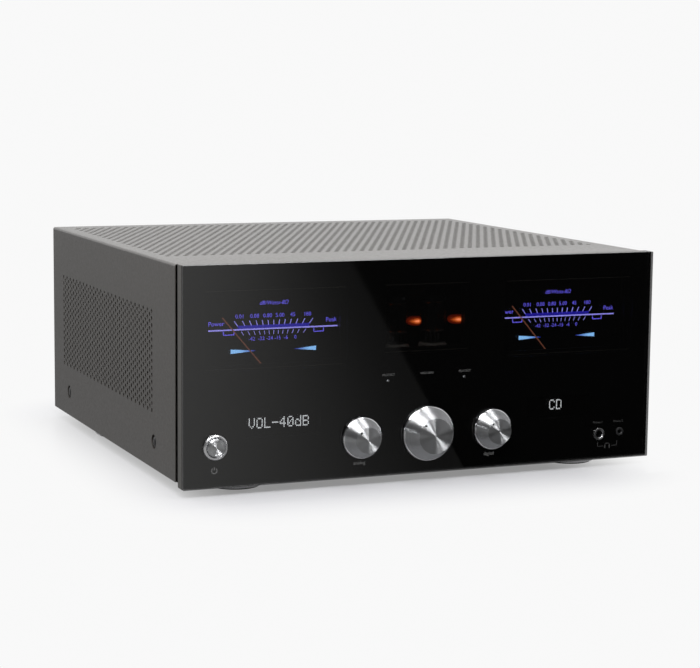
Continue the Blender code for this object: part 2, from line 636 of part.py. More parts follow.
def make_speaker_terminals(black, cap_finishes):
    plate_low, plate_high = REAR_FACE + GAP, REAR_FACE + 3.0 * MM
    reach = (POST_PAIR_X + 24 * MM, 15 * MM)
    plate = bar("speaker_terminal_plate", (0, POST_Z), reach, plate_low, plate_high, black)
    soften(plate, 0.8 * MM)
    stud_low, stud_high = REAR_FACE - 14 * MM, CASE_DEPTH + 24 * MM
    collar_low, collar_high = REAR_FACE + MM, REAR_FACE + 7 * MM
    for i, x in enumerate(post_places()):
        centre = (x, POST_Z)
        unite(plate, rod(f"post_{i}", centre, 3.0 * MM, stud_low, stud_high, sides=12))
        unite(plate, rod(f"post_collar_{i}", centre, 6.6 * MM, collar_low, collar_high, sides=16))
    start = collar_high + GAP
    length = CASE_DEPTH + POST_REACH - start
    sleeve = [
        (3.5 * MM, length), (6.6 * MM, length), (7.4 * MM, length - 0.9 * MM),
        (7.4 * MM, 1.0 * MM), (6.8 * MM, 0), (3.5 * MM, 0),
    ]
    for i, x in enumerate(post_places()):
        name, finish = f"speaker_post_cap_{i + 1}", cap_finishes[i % 2]
        where = (x, behind(start), POST_Z)
        turned(name, sleeve, finish, where, FACING_BACK, steps=20, closed=True)


def make_socket_blocks(black, metal):
    reach = (RCA_COLUMNS * RCA_PITCH[0] / 2 - MM, 18 * MM)
    low_y, high_y = REAR_FACE - 14 * MM, REAR_FACE + 1.2 * MM
    block = bar("rca_socket_block", (RCA_X, RCA_Z), reach, low_y, high_y, black)
    for row in range(RCA_ROWS):
        for column in range(RCA_COLUMNS):
            x = RCA_X + (column - (RCA_COLUMNS - 1) / 2) * RCA_PITCH[0]
            z = RCA_Z + (row - (RCA_ROWS - 1) / 2) * RCA_PITCH[1]
            name = f"rca_barrel_{row}_{column}"
            unite(block, rod(name, (x, z), BARREL_R, REAR_FACE, BARREL_TIP, sides=12))

    centre, reach = (DIGITAL_X, DIGITAL_Z), (48 * MM, 10 * MM)
    low_y, high_y = REAR_FACE - 16 * MM, REAR_FACE + MM
    block = bar("digital_socket_block", centre, reach, low_y, high_y, metal)
    for i in range(2):
        x = DIGITAL_X + (-38 + 16 * i) * MM
        name = f"coaxial_barrel_{i}"
        unite(block, rod(name, (x, DIGITAL_Z), BARREL_R, REAR_FACE, BARREL_TIP, sides=12))
    for i in range(2):
        x = DIGITAL_X + (-4 + 15 * i) * MM
        reach = (4.9 * MM, 4.9 * MM)
        unite(block, bar(f"optical_{i}", (x, DIGITAL_Z), reach, REAR_FACE, REAR_FACE + 3 * MM))
    usb = (DIGITAL_X + 35 * MM, DIGITAL_Z)
    unite(block, bar("usb_shell", usb, (6.0 * MM, 5.4 * MM), REAR_FACE, REAR_FACE + 2.5 * MM))
    cut(block, bar("usb_hole", usb, (4.25 * MM, 3.9 * MM), REAR_FACE - 9 * MM, REAR_FACE + 4 * MM))


# ---------------------------------------------------------------- the whole amplifier
def main():
    clear_scene()
    black_glass = material("black_glass", (0.01, 0.01, 0.012), 0.05)
    dark_metal = material("anodised_frame", (0.07, 0.07, 0.068), 0.4, 0.8)
    steel = material("black_steel", (0.03, 0.03, 0.03), 0.5, 0.5)
    paint = material("taupe_paint", (0.13, 0.12, 0.112), 0.42, 0.3)
    chrome = material("chrome", (0.8, 0.8, 0.82), 0.08, 1.0)
    spun = material("spun_aluminium", (0.78, 0.79, 0.8), 0.22, 1.0)
    rubber = material("rubber", (0.02, 0.02, 0.02), 0.85)
    black = material("black_plastic", (0.02, 0.02, 0.022), 0.45)
    black_screw = material("black_screw", (0.02, 0.02, 0.02), 0.35, 0.9)
    dial = material("dial_blue", (0.02, 0.02, 0.12), 0.5)
    orange = material("needle_orange", (0.85, 0.2, 0.04), 0.5)
    display = material("display_glass", (0.015, 0.015, 0.018), 0.12)
    tube_glass = material("tube_glass", (0.5, 0.5, 0.5), 0.05)
    ceramic = material("ceramic", (0.75, 0.73, 0.68), 0.45)
    amber = material("amber_lamp", (0.9, 0.3, 0.05), 0.3)
    sink = material("heat_sink_black", (0.03, 0.03, 0.032), 0.5, 0.7)
    winding = material("winding_film", (0.25, 0.08, 0.03), 0.35)
    board = material("circuit_board", (0.02, 0.10, 0.05), 0.5)
    sleeve = material("capacitor_sleeve", (0.03, 0.03, 0.05), 0.4)
    plated = material("plated_socket_block", (0.35, 0.35, 0.36), 0.35, 0.8)
    cap_black = material("post_cap_black", (0.015, 0.015, 0.015), 0.4)
    cap_red = material("post_cap_red", (0.5, 0.02, 0.02), 0.4)

    make_front(black_glass, dark_metal, steel)
    make_base(steel)
    make_cover(paint)
    make_screws(black_screw)
    make_rear_panel(steel)
    make_feet(chrome, rubber)

    mark = math.radians(-45)
    make_knob("volume_knob", 0, 15.2, 23.25, KNOB_REACH / MM, mark, spun)
    make_encoder("volume_encoder", 0, black)
    for name, x in (("analog", -SELECTOR_X), ("digital", SELECTOR_X)):
        make_knob(f"{name}_selector_knob", x, 11.0, 17.5, 15.5, mark, spun)
        make_encoder(f"{name}_selector_encoder", x, black)
    make_power_button(chrome, spun, black)
    make_jack("headphone_jack_large", BIG_JACK, 4.9, 4.2, 3.25, 8.5, 30, chrome)
    make_jack("headphone_jack_small", SMALL_JACK, 3.6, 2.9, 1.85, 5.5, 20, black)

    for side, sign in SIDES:
        make_meter(side, sign, black, dial, orange)
        make_display(side, sign, display)
        make_heat_sink(side, sign, sink)
    make_valve_stage(tube_glass, ceramic, steel, amber)
    make_power_supply(winding, steel, sleeve, board)

    make_inlet(black)
    make_mains_switch(black, black)
    make_speaker_terminals(black, (cap_black, cap_red))
    make_socket_blocks(black, plated)


main()
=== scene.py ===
"""Looks for the integrated amplifier: its finishes, its fine detail, and a plain pale studio."""

import math

import bmesh
import bpy
from mathutils import Matrix, Vector
from mathutils.geometry import delaunay_2d_cdt


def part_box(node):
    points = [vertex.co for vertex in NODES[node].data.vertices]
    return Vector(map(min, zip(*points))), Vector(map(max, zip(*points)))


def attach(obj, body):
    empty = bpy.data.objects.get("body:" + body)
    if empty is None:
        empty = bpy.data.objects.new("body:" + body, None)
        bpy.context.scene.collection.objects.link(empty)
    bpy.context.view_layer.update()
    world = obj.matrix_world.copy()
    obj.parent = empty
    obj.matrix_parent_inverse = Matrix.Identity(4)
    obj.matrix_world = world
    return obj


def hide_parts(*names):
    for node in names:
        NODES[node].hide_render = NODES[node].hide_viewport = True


MM = 0.001
SIDES = (("left", -1), ("right", 1))
CHASSIS = "chassis"


# ---- the frame
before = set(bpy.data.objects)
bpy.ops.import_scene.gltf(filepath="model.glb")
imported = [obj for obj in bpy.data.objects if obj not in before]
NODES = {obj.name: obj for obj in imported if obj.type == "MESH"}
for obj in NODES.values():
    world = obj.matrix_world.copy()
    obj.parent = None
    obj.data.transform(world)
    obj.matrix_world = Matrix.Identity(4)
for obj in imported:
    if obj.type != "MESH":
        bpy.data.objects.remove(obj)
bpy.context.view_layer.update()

GLASS_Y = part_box("front_glass")[0].y
COVER_LOW, COVER_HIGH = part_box("top_cover")
PANEL_LOW, PANEL_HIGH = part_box("front_frame")
REAR_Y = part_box("rear_panel")[1].y


def middle(node):
    low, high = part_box(node)
    return (low + high) / 2


def on_glass(node):
    """The point of the front of the glass that lies before the middle of a node."""
    centre = middle(node)
    return Vector((centre.x, GLASS_Y, centre.z))


def at_rear(x, z, out=0.0):
    """A point this many millimetres behind the back panel."""
    return Vector((x * MM, REAR_Y + out * MM, z * MM))


def deep(depth):
    """Y of a plane that lies this many millimetres behind the front of the glass."""
    return GLASS_Y + depth * MM


# ---- node materials
def new_material(name, colour, rough, metal=0.0, **sockets):
    made = bpy.data.materials.new(name)
    made.use_nodes = True
    plain = {"Base_Color": (*colour, 1.0), "Roughness": rough, "Metallic": metal}
    for socket, value in (plain | sockets).items():
        setting(made, socket.replace("_", " "), value)
    return made


def setting(made, socket, value):
    """A constant on the shader's own socket."""
    made.node_tree.nodes["Principled BSDF"].inputs[socket].default_value = value


def place_node(made):
    """The material's one Texture Coordinate node."""
    found = made.node_tree.nodes.get("place")
    if found is None:
        found = made.node_tree.nodes.new("ShaderNodeTexCoord")
        found.name = "place"
    return found


def noise(made, scale, detail=3.0):
    """Noise in object space with features about 1 / scale metres across."""
    tree = made.node_tree
    texture = tree.nodes.new("ShaderNodeTexNoise")
    texture.inputs["Scale"].default_value = scale
    texture.inputs["Detail"].default_value = detail
    tree.links.new(place_node(made).outputs["Object"], texture.inputs["Vector"])
    return texture.outputs["Fac"]


def ranged(made, source, low, high, start=0.3, end=0.7, kind="LINEAR"):
    node = made.node_tree.nodes.new("ShaderNodeMapRange")
    node.interpolation_type = kind
    for socket, value in (("From Min", start), ("From Max", end), ("To Min", low), ("To Max", high)):
        node.inputs[socket].default_value = value
    made.node_tree.links.new(source, node.inputs["Value"])
    return node.outputs["Result"]


def blend_colour(made, factor, first, second):
    """A mix of two colours, each a plain colour or another node's output."""
    tree = made.node_tree
    node = tree.nodes.new("ShaderNodeMix")
    node.data_type = "RGBA"
    tree.links.new(factor, node.inputs[0])
    for socket, colour in ((node.inputs[6], first), (node.inputs[7], second)):
        if isinstance(colour, tuple):
            socket.default_value = (*colour, 1.0)
        else:
            tree.links.new(colour, socket)
    return node.outputs[2]


def calc(made, operation, *values):
    """A Math node on numbers and other nodes' outputs."""
    tree = made.node_tree
    node = tree.nodes.new("ShaderNodeMath")
    node.operation = operation
    for socket, value in zip(node.inputs, values):
        if isinstance(value, (int, float)):
            socket.default_value = value
        else:
            tree.links.new(value, socket)
    return node.outputs[0]


def vector_calc(made, operation, source, other=None):
    """A Vector Math node on another node's output."""
    tree = made.node_tree
    node = tree.nodes.new("ShaderNodeVectorMath")
    node.operation = operation
    tree.links.new(source, node.inputs[0])
    if other:
        node.inputs[1].default_value = other
    return node.outputs["Value" if operation in ("LENGTH", "DOT_PRODUCT") else "Vector"]


def mix_shaders(tree, factor, first, second, target):
    node = tree.nodes.new("ShaderNodeMixShader")
    for source, socket in zip((factor, first, second), node.inputs):
        tree.links.new(source, socket)
    tree.links.new(node.outputs["Shader"], target.inputs["Surface"])


def axes(made, kind):
    """The X, Y and Z of a texture coordinate, such as Object or Generated."""
    tree = made.node_tree
    split = tree.nodes.new("ShaderNodeSeparateXYZ")
    tree.links.new(place_node(made).outputs[kind], split.inputs[0])
    return split.outputs


def feed(made, socket, source):
    made.node_tree.links.new(source, made.node_tree.nodes["Principled BSDF"].inputs[socket])


def relief(made, source, height):
    """Bump from a node's output, which is that many millimetres high."""
    node = made.node_tree.nodes.new("ShaderNodeBump")
    node.inputs["Distance"].default_value = height * MM
    made.node_tree.links.new(source, node.inputs["Height"])
    feed(made, "Normal", node.outputs["Normal"])


def finish(name, colour, rough, metal=0.0, tint=(0.12, 60), polish=(0.06, 150), grain=None, **sockets):
    """A surface whose colour, gloss and relief vary. Each pair is an amount and a scale."""
    made = new_material(name, colour, rough, metal, **sockets)
    amount, scale = tint
    dark = tuple(c * (1 - amount) for c in colour)
    light = tuple(min(1.0, c * (1 + amount)) for c in colour)
    feed(made, "Base Color", blend_colour(made, ranged(made, noise(made, scale), 0, 1), dark, light))
    spread, scale = polish
    feed(made, "Roughness", ranged(made, noise(made, scale), rough - spread, rough + spread))
    if grain:
        height, scale = grain
        relief(made, noise(made, scale, 2.0), height)
    return made


def glowing(name, colour, strength, base=(0.02, 0.02, 0.02)):
    made = finish(name, base, 0.5, polish=(0.05, 400))
    setting(made, "Emission Color", (*colour, 1.0))
    feed(made, "Emission Strength", ranged(made, noise(made, 500), 0.85 * strength, 1.1 * strength))
    return made


def turned_metal(name, colour, rough):
    """Metal faced on a lathe: fine rings round its axis, and the bow-tie of light that they make."""
    made = new_material(name, colour, rough, 1.0, Anisotropic=1.0, Anisotropic_Rotation=0.25)
    tree = made.node_tree
    tangent = tree.nodes.new("ShaderNodeTangent")
    tangent.direction_type = "RADIAL"
    tangent.axis = "Y"
    feed(made, "Tangent", tangent.outputs["Tangent"])
    centred = vector_calc(made, "SUBTRACT", place_node(made).outputs["Generated"], (0.5, 0, 0.5))
    radius = vector_calc(made, "LENGTH", vector_calc(made, "MULTIPLY", centred, (1, 0, 1)))
    rings = tree.nodes.new("ShaderNodeTexNoise")
    rings.noise_dimensions = "1D"
    rings.inputs["Scale"].default_value = 130
    rings.inputs["Detail"].default_value = 4
    tree.links.new(radius, rings.inputs["W"])
    fineness = rings.outputs["Fac"]
    feed(made, "Roughness", ranged(made, fineness, rough - 0.05, rough + 0.07))
    dark = tuple(c * 0.86 for c in colour)
    feed(made, "Base Color", blend_colour(made, ranged(made, fineness, 0, 1), dark, colour))
    relief(made, fineness, 0.012)
    return made


# ---- camera and studio
CAMERA_AT = Vector((-0.69204, -1.67737, 0.3407))
CAMERA_YAW, CAMERA_PITCH, CAMERA_ROLL = (math.radians(a) for a in (22.915, 7.613, 0.592))
LENS = 100.9


def link(obj):
    bpy.context.scene.collection.objects.link(obj)
    return obj


def make_camera():
    data = bpy.data.cameras.new("camera")
    data.lens = LENS
    data.sensor_width = 36.0
    camera = link(bpy.data.objects.new("camera", data))
    level = math.cos(CAMERA_PITCH)
    ahead = Vector((math.sin(CAMERA_YAW) * level, math.cos(CAMERA_YAW) * level, -math.sin(CAMERA_PITCH)))
    right = Vector((math.cos(CAMERA_YAW), -math.sin(CAMERA_YAW), 0))
    up = right.cross(ahead)
    across = math.cos(CAMERA_ROLL) * right + math.sin(CAMERA_ROLL) * up
    upward = math.cos(CAMERA_ROLL) * up - math.sin(CAMERA_ROLL) * right
    turn = Matrix((across, upward, -ahead)).transposed().to_4x4()
    camera.matrix_world = Matrix.Translation(CAMERA_AT) @ turn
    bpy.context.scene.camera = camera


def area_light(name, at, aim, size, watts):
    data = bpy.data.lights.new(name, "AREA")
    data.shape = "RECTANGLE"
    data.size, data.size_y = size
    data.energy = watts
    lamp = link(bpy.data.objects.new(name, data))
    lamp.location = at
    lamp.rotation_euler = (Vector(aim) - Vector(at)).to_track_quat("-Z", "Y").to_euler()
    lamp.visible_camera = False
    return lamp


PALE = (0.945, 0.945, 0.945, 1.0)
# The room that surfaces see is bright behind the object and dim in front of it, a little askew
ROOM_SLANT, ROOM_LEVELS, ROOM_FADE = 0.6, (0.10, 1.6), (-0.6, 1.0)
FLOOR_TINT = (0.52, 0.52, 0.55)
FOOTPRINT = (0.14, 0.20)
SHADE_SHIFT, SHADE_STRETCH = (0.02, 0, 0), (1.05, 1, 0)
FADE, LEAST_FADE = (0.0, 0.13), 0.28
FLOOR_BOUNCE = 0.40
CARD_EDGE_NEAR, CARD_EDGE_FAR = (0.05, -0.24), (0.68, -1.98)
# The card's strength at its edge and further in, and how many metres wide the fade between them is
CARD_DIM, CARD_BRIGHT, CARD_FADE = 0.04, 0.33, 0.32
# How many times its named edge the card runs, where it and the dark flag end, and the flag's glow
CARD_LONGER, CARD_END, FLAG_END, FLAG_GLOW = 1.6, -2.5, 3.5, 0.004
CARD_UP = 0.0015


def make_floor():
    """A pale floor that shades softly near the object and fades into the background further off."""
    mesh = bpy.data.meshes.new("studio_floor")
    far = 14.0
    mesh.from_pydata([(-far, -far, 0), (far, -far, 0), (far, far, 0), (-far, far, 0)], [], [(0, 1, 2, 3)])
    floor = link(bpy.data.objects.new("studio_floor", mesh))
    made = new_material("studio_floor", FLOOR_TINT, 0.32, Specular_IOR_Level=0.35)
    tree = made.node_tree
    shader = tree.nodes["Principled BSDF"]
    glow = tree.nodes.new("ShaderNodeEmission")
    glow.inputs["Color"].default_value = PALE
    reach = place_node(made).outputs["Object"]
    for step in (
        ("ADD", SHADE_SHIFT), ("ABSOLUTE", None), ("SUBTRACT", (*FOOTPRINT, 0)),
        ("MAXIMUM", (0, 0, 0)), ("MULTIPLY", SHADE_STRETCH), ("LENGTH", None),
    ):
        reach = vector_calc(made, step[0], reach, step[1])
    fade = ranged(made, reach, LEAST_FADE, 1.0, *FADE, "SMOOTHSTEP")
    seen = tree.nodes.new("ShaderNodeLightPath")
    level = ranged(made, seen.outputs["Is Camera Ray"], FLOOR_BOUNCE, 1.0, 0.0, 1.0)
    tree.links.new(level, glow.inputs["Strength"])
    darker = tuple(c * FLOOR_BOUNCE for c in FLOOR_TINT)
    feed(made, "Base Color", blend_colour(made, seen.outputs["Is Camera Ray"], darker, FLOOR_TINT))
    mix_shaders(
        tree, fade, shader.outputs["BSDF"], glow.outputs["Emission"], tree.nodes["Material Output"],
    )
    mesh.materials.append(made)


def glossy_card(name, corners, strength):
    """A card on the floor in front of the object that only glossy reflections see."""
    mesh = bpy.data.meshes.new(name)
    mesh.from_pydata([(x, y, CARD_UP) for x, y in corners], [], [tuple(range(len(corners)))])
    card = link(bpy.data.objects.new(name, mesh))
    made = bpy.data.materials.new(name)
    made.use_nodes = True
    tree = made.node_tree
    tree.nodes.remove(tree.nodes["Principled BSDF"])
    glow = tree.nodes.new("ShaderNodeEmission")
    glow.inputs["Color"].default_value = (1, 1, 0.985, 1)
    glow.inputs["Strength"].default_value = strength
    tree.links.new(glow.outputs["Emission"], tree.nodes["Material Output"].inputs["Surface"])
    mesh.materials.append(made)
    card.visible_camera = False
    card.visible_diffuse = False
    card.visible_transmission = False
    card.visible_shadow = False
    return made, glow


def grade_card(made, glow):
    """Light that fades evenly towards the card's edge."""
    tree = made.node_tree
    along = (Vector(CARD_EDGE_FAR) - Vector(CARD_EDGE_NEAR)).normalized()
    away = Vector((along.y, -along.x, 0))
    inward = vector_calc(made, "DOT_PRODUCT", place_node(made).outputs["Object"], away)
    start = away.dot(Vector((*CARD_EDGE_NEAR, 0)))
    level = ranged(made, inward, CARD_DIM, CARD_BRIGHT, start, start + CARD_FADE, "SMOOTHSTEP")
    tree.links.new(level, glow.inputs["Strength"])


def make_studio():
    world = bpy.data.worlds.new("studio")
    bpy.context.scene.world = world
    world.use_nodes = True
    tree = world.node_tree
    back = tree.nodes["Background"]
    room = tree.nodes.new("ShaderNodeBackground")
    place = axes(world, "Generated")
    slant = calc(world, "MULTIPLY_ADD", place["X"], ROOM_SLANT, place["Y"])
    level = ranged(world, slant, *ROOM_LEVELS, *ROOM_FADE, "SMOOTHSTEP")
    tree.links.new(level, room.inputs["Strength"])
    back.inputs["Color"].default_value = PALE
    seen = tree.nodes.new("ShaderNodeLightPath")
    mix_shaders(
        tree, seen.outputs["Is Camera Ray"], room.outputs["Background"], back.outputs["Background"],
        tree.nodes["World Output"],
    )

    make_floor()
    near = CARD_EDGE_NEAR
    far = tuple(a + CARD_LONGER * (b - a) for a, b in zip(near, CARD_EDGE_FAR))
    glossy_card("studio_flag", [near, far, (FLAG_END, far[1]), (FLAG_END, near[1])], FLAG_GLOW)
    grade_card(*glossy_card("studio_card", [near, (CARD_END, near[1]), (CARD_END, far[1]), far], 1.0))

    area_light("top_softbox", (0.1, 0.1, 1.5), (0, 0, 0), (1.4, 1.0), 12)
    area_light("side_softbox", (-1.4, 0.3, 1.3), (0, 0, 0.1), (0.9, 0.9), 4)
    area_light("front_left_softbox", (-0.42, -0.85, 0.85), (0, -0.2, 0.05), (0.8, 0.35), 12)
    area_light("front_top_strip", (0.25, -0.75, 1.1), (0, -0.2, 0.05), (0.3, 0.15), 3)


# ---- shapes
FRONT, BACK, UP = Vector((0, -1, 0)), Vector((0, 1, 0)), Vector((0, 0, 1))
PRINT_THICK = 0.04


def add_piece(name, mesh, look, body=CHASSIS, stands_for=()):
    """A new piece of the object, riding on a CAD body."""
    obj = link(bpy.data.objects.new(name, mesh))
    mesh.materials.append(MATERIALS[look])
    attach(obj, body)
    if stands_for:
        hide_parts(*stands_for)
    return obj


def turned_piece(name, outline, at, along, steps, look, *where, closed=False, **options):
    """One solid of revolution as a piece of its own."""
    made = Builder()
    made.turned(outline, at, along, steps, closed)
    return made.done(name, look, *where, **options)


def soften(obj, width):
    step = obj.modifiers.new("edges", "BEVEL")
    step.width = width * MM
    step.segments = 2
    step.limit_method = "ANGLE"
    step.angle_limit = math.radians(35)
    step.harden_normals = True
    return obj


def shade(mesh, angle=32):
    mesh.shade_smooth()
    mesh.set_sharp_from_angle(angle=math.radians(angle))


def ring_points(radius, count, centre=(0, 0)):
    turn = 2 * math.pi / count
    return arc_points(radius, centre, [i * turn for i in range(count)])


def arc_points(radius, centre, angles):
    return [
        Vector((centre[0] + radius * math.cos(a), centre[1] + radius * math.sin(a))) for a in angles
    ]


class Builder:
    """Gathers solids into one mesh, in the frame's own coordinates."""

    def __init__(self):
        self.bm = bmesh.new()

    def merge(self, mesh, matrix):
        mesh.transform(matrix)
        self.bm.from_mesh(mesh)
        bpy.data.meshes.remove(mesh)

    def skin(self, loops):
        """Faces that point outwards, one from each loop of corners."""
        made = [self.bm.faces.new(loop) for loop in loops]
        bmesh.ops.recalc_face_normals(self.bm, faces=made)

    def block(self, low, high):
        low, high = Vector(low), Vector(high)
        place = Matrix.Translation((low + high) / 2) @ Matrix.Diagonal((*(high - low), 1))
        bmesh.ops.create_cube(self.bm, size=1.0, matrix=place)

    def slab(self, x, y, z):
        """A block from its ranges: X and Z in millimetres, Y in metres."""
        self.block((x[0] * MM, y[0], z[0] * MM), (x[1] * MM, y[1], z[1] * MM))

    def turned(self, profile, at, along=UP, steps=64, closed=False):
        """A solid of revolution. The profile is (radius, height) in millimetres."""
        turn = Vector(along).to_track_quat("Z", "Y").to_matrix().to_4x4()
        place = Matrix.Translation(at) @ turn
        rings = []
        for radius, height in profile:
            count = steps if radius > 0 else 1
            points = ring_points(radius * MM, count)
            rings.append([self.bm.verts.new(place @ Vector((*p, height * MM))) for p in points])
        pairs = list(zip(rings, rings[1:]))
        if closed:
            pairs.append((rings[-1], rings[0]))
        loops = []
        for upper, lower in pairs:
            for i in range(steps):
                j = (i + 1) % steps
                corners = [
                    upper[i % len(upper)], lower[i % len(lower)], lower[j % len(lower)],
                    upper[j % len(upper)],
                ]
                unique = list(dict.fromkeys(corners))
                if len(unique) > 2:
                    loops.append(unique)
        self.skin(loops)

    def rod(self, start, end, radius, sides):
        start, end = Vector(start), Vector(end)
        length = (end - start).length / MM
        self.turned([(0, length), (radius, length), (radius, 0), (0, 0)], start, end - start, sides)

    def prism(self, points, low_y, high_y):
        """A flat outline in X and Z, thickened along Y."""
        rows = [[self.bm.verts.new((x, y, z)) for x, z in points] for y in (low_y, high_y)]
        loops = [rows[0], rows[1][::-1]]
        for i in range(len(points)):
            j = (i + 1) % len(points)
            loops.append((rows[0][i], rows[1][i], rows[1][j], rows[0][j]))
        self.skin(loops)

    def stroke(self, start, end, width, low_y, high_y):
        """A straight line of print between two (X, Z) points, all in metres."""
        start, end = Vector(start), Vector(end)
        side = (end - start).normalized().orthogonal() * width / 2
        self.prism([start - side, end - side, end + side, start + side], low_y, high_y)

    def line(self, points, width, low_y, high_y):
        """Strokes from each point to the next."""
        for start, end in zip(points, points[1:]):
            self.stroke(start, end, width, low_y, high_y)

    def words(self, text, size, at, facing=FRONT, slant=0.0):
        """Lettering whose baseline has its middle at a point, halfway through the print."""
        curve = bpy.data.curves.new("words", "FONT")
        curve.body = text
        curve.size = size * MM
        curve.align_x = "CENTER"
        curve.shear = slant
        curve.extrude = PRINT_THICK * MM / 2
        curve.resolution_u = 3
        temporary = link(bpy.data.objects.new("words", curve))
        graph = bpy.context.evaluated_depsgraph_get()
        mesh = bpy.data.meshes.new_from_object(temporary.evaluated_get(graph))
        bpy.data.objects.remove(temporary)
        bpy.data.curves.remove(curve)
        across = UP.cross(facing)
        turn = Matrix((across, UP, Vector(facing))).transposed().to_4x4()
        self.merge(mesh, Matrix.Translation(at) @ turn)

    def mesh(self, name):
        made = bpy.data.meshes.new(name)
        self.bm.to_mesh(made)
        self.bm.free()
        return made

    def done(self, name, look, body=CHASSIS, slot=None, stands_for=(), angle=32):
        mesh = self.mesh(name)
        shade(mesh, angle)
        return add_piece(name, mesh, look, body, stands_for)


def frozen(obj):
    """Applies an object's modifiers to its mesh."""
    graph = bpy.context.evaluated_depsgraph_get()
    mesh = bpy.data.meshes.new_from_object(obj.evaluated_get(graph))
    obj.modifiers.clear()
    obj.data = mesh
    return obj


# ---- the perforated cover
SHEET = 1.6
COVER_CORNER = 2 * MM
SIDE_VENT_DEPTHS, SIDE_VENT_Z, SIDE_VENT_PITCH, SIDE_VENT_R = (83.75, 371.25), (59.0, 143.0), 5.95, 1.9
POCKET_R = 6.2
TOP_VENT_X, TOP_VENT_DEPTHS, TOP_VENT_PITCH, TOP_VENT_R = 200.0, (88, 384), 8.0, 2.3


def staggered(a_range, b_range, pitch):
    """Centres of a staggered grid that fills a rectangle."""
    columns = round((a_range[1] - a_range[0]) / pitch)
    rows = round((b_range[1] - b_range[0]) / pitch)
    for i in range(columns + 1):
        shift = pitch / 2 if i % 2 else 0
        for j in range(rows + 1 - (i % 2)):
            yield a_range[0] + i * pitch, b_range[0] + j * pitch + shift


def cut_sheet(outline, holes, place):
    """A flat sheet with holes, as (points, faces), each point put in place."""
    points, loops = [], []
    for loop in [outline, *holes]:
        loops.append(list(range(len(points), len(points) + len(loop))))
        points.extend(Vector(p) for p in loop)
    cut = delaunay_2d_cdt(points, [], loops, 5, 1e-7)
    return [place(p) for p in cut[0]], cut[2]


def sheet_piece(name, parts, look, stands_for=()):
    """Sheet metal from flat or bent parts that share their edges."""
    sheet = Builder()
    for points, faces in parts:
        verts = [sheet.bm.verts.new(p) for p in points]
        for face in faces:
            sheet.bm.faces.new([verts[i] for i in face])
    bmesh.ops.remove_doubles(sheet.bm, verts=sheet.bm.verts, dist=1e-6)
    obj = add_piece(name, sheet.mesh(name), look, CHASSIS, stands_for)
    thick = obj.modifiers.new("sheet", "SOLIDIFY")
    thick.thickness = SHEET * MM
    thick.offset = -1.0
    frozen(obj)
    shade(obj.data, 30)
    return obj


def make_cover():
    low, high = COVER_LOW, COVER_HIGH
    half, top = high.x, high.z
    flat = half - COVER_CORNER
    front, back = low.y, high.y
    drop = top - COVER_CORNER

    reach = TOP_VENT_X * MM
    vents = staggered([deep(d) for d in TOP_VENT_DEPTHS], (-reach, reach), TOP_VENT_PITCH * MM)
    holes = [ring_points(TOP_VENT_R * MM, 12, (x, y)) for y, x in vents]
    outline = [(-flat, front), (flat, front), (flat, back), (-flat, back)]
    parts = [cut_sheet(outline, holes, lambda p: Vector((p.x, p.y, top)))]
    steps = 6
    for sign in (-1, 1):
        points, faces = [], []
        for i in range(steps + 1):
            angle = math.radians(90 * i / steps)
            x = sign * (flat + COVER_CORNER * math.sin(angle))
            z = drop + COVER_CORNER * math.cos(angle)
            points += [Vector((x, front, z)), Vector((x, back, z))]
        for i in range(steps):
            loop = (2 * i, 2 * i + 2, 2 * i + 3, 2 * i + 1)
            faces.append(loop if sign > 0 else loop[::-1])
        parts.append((points, faces))
    sheet_piece("cover_top", parts, "paint", ("top_cover",))

    screws = [middle(f"cover_screw_left_{place}") for place in ("front", "rear")]
    for side, sign in SIDES:
        vents = staggered(
            [deep(d) for d in SIDE_VENT_DEPTHS], [z * MM for z in SIDE_VENT_Z], SIDE_VENT_PITCH * MM,
        )
        holes = [ring_points(SIDE_VENT_R * MM, 12, (sign * y, z)) for y, z in vents]
        holes += [ring_points(POCKET_R * MM, 32, (sign * s.y, s.z)) for s in screws]
        outline = [(front, low.z), (back, low.z), (back, drop), (front, drop)]
        if sign < 0:
            outline = [(-y, z) for y, z in outline[::-1]]
            outline = outline[-1:] + outline[:-1]

        def place(p, sign=sign):
            return Vector((sign * half, sign * p.x, p.y))

        sheet_piece(f"cover_side_{side}", [cut_sheet(outline, holes, place)], "paint")
        cups = Builder()
        for s in screws:
            cup = [(POCKET_R, 0), (POCKET_R, -2.2), (2.6, -2.2), (2.6, -2.9), (7.2, -2.9), (7.2, -0.05)]
            cups.turned(cup, (sign * half, s.y, s.z), (sign, 0, 0), 40, closed=True)
        soften(cups.done(f"cover_pockets_{side}", "paint", slot="cover_paint"), 0.2)


def make_gap_shade_strip():
    """The black strip that fills the gap between the front frame and the cover: painted shade, so the gap
    reads as deep shadow.
    """
    low_y, high_y = PANEL_HIGH.y + 0.1 * MM, COVER_LOW.y - 0.1 * MM
    outer, inner = COVER_HIGH.x - 0.7 * MM, COVER_HIGH.x - 2.6 * MM
    top, base = COVER_HIGH.z - 0.7 * MM, COVER_LOW.z + 0.5 * MM
    strip = Builder()
    for _, sign in SIDES:
        x0, x1 = sorted((sign * outer, sign * inner))
        strip.block((x0, low_y, base), (x1, high_y, top))
    strip.block((-inner, low_y, top - 1.9 * MM), (inner, high_y, top))
    strip.done("cover_gap_shade_strip", "gap_black", slot="rubber")


# ---- knobs, button and jacks
KNOBS = (
    ("volume_knob", "volume_knob", 15.2, 23.25, 17.0),
    ("analog_selector_knob", "analog_selector", 11.0, 17.5, 15.5),
    ("digital_selector_knob", "digital_selector", 11.0, 17.5, 15.5),
)
NECK, CHAMFER, SPINDLE_R, SPINDLE_END = 3.4, 0.45, 3.0, -17.4
MARK_ANGLE, MARK_INSET = math.radians(-45), 2.3
DISH_R = 5.3


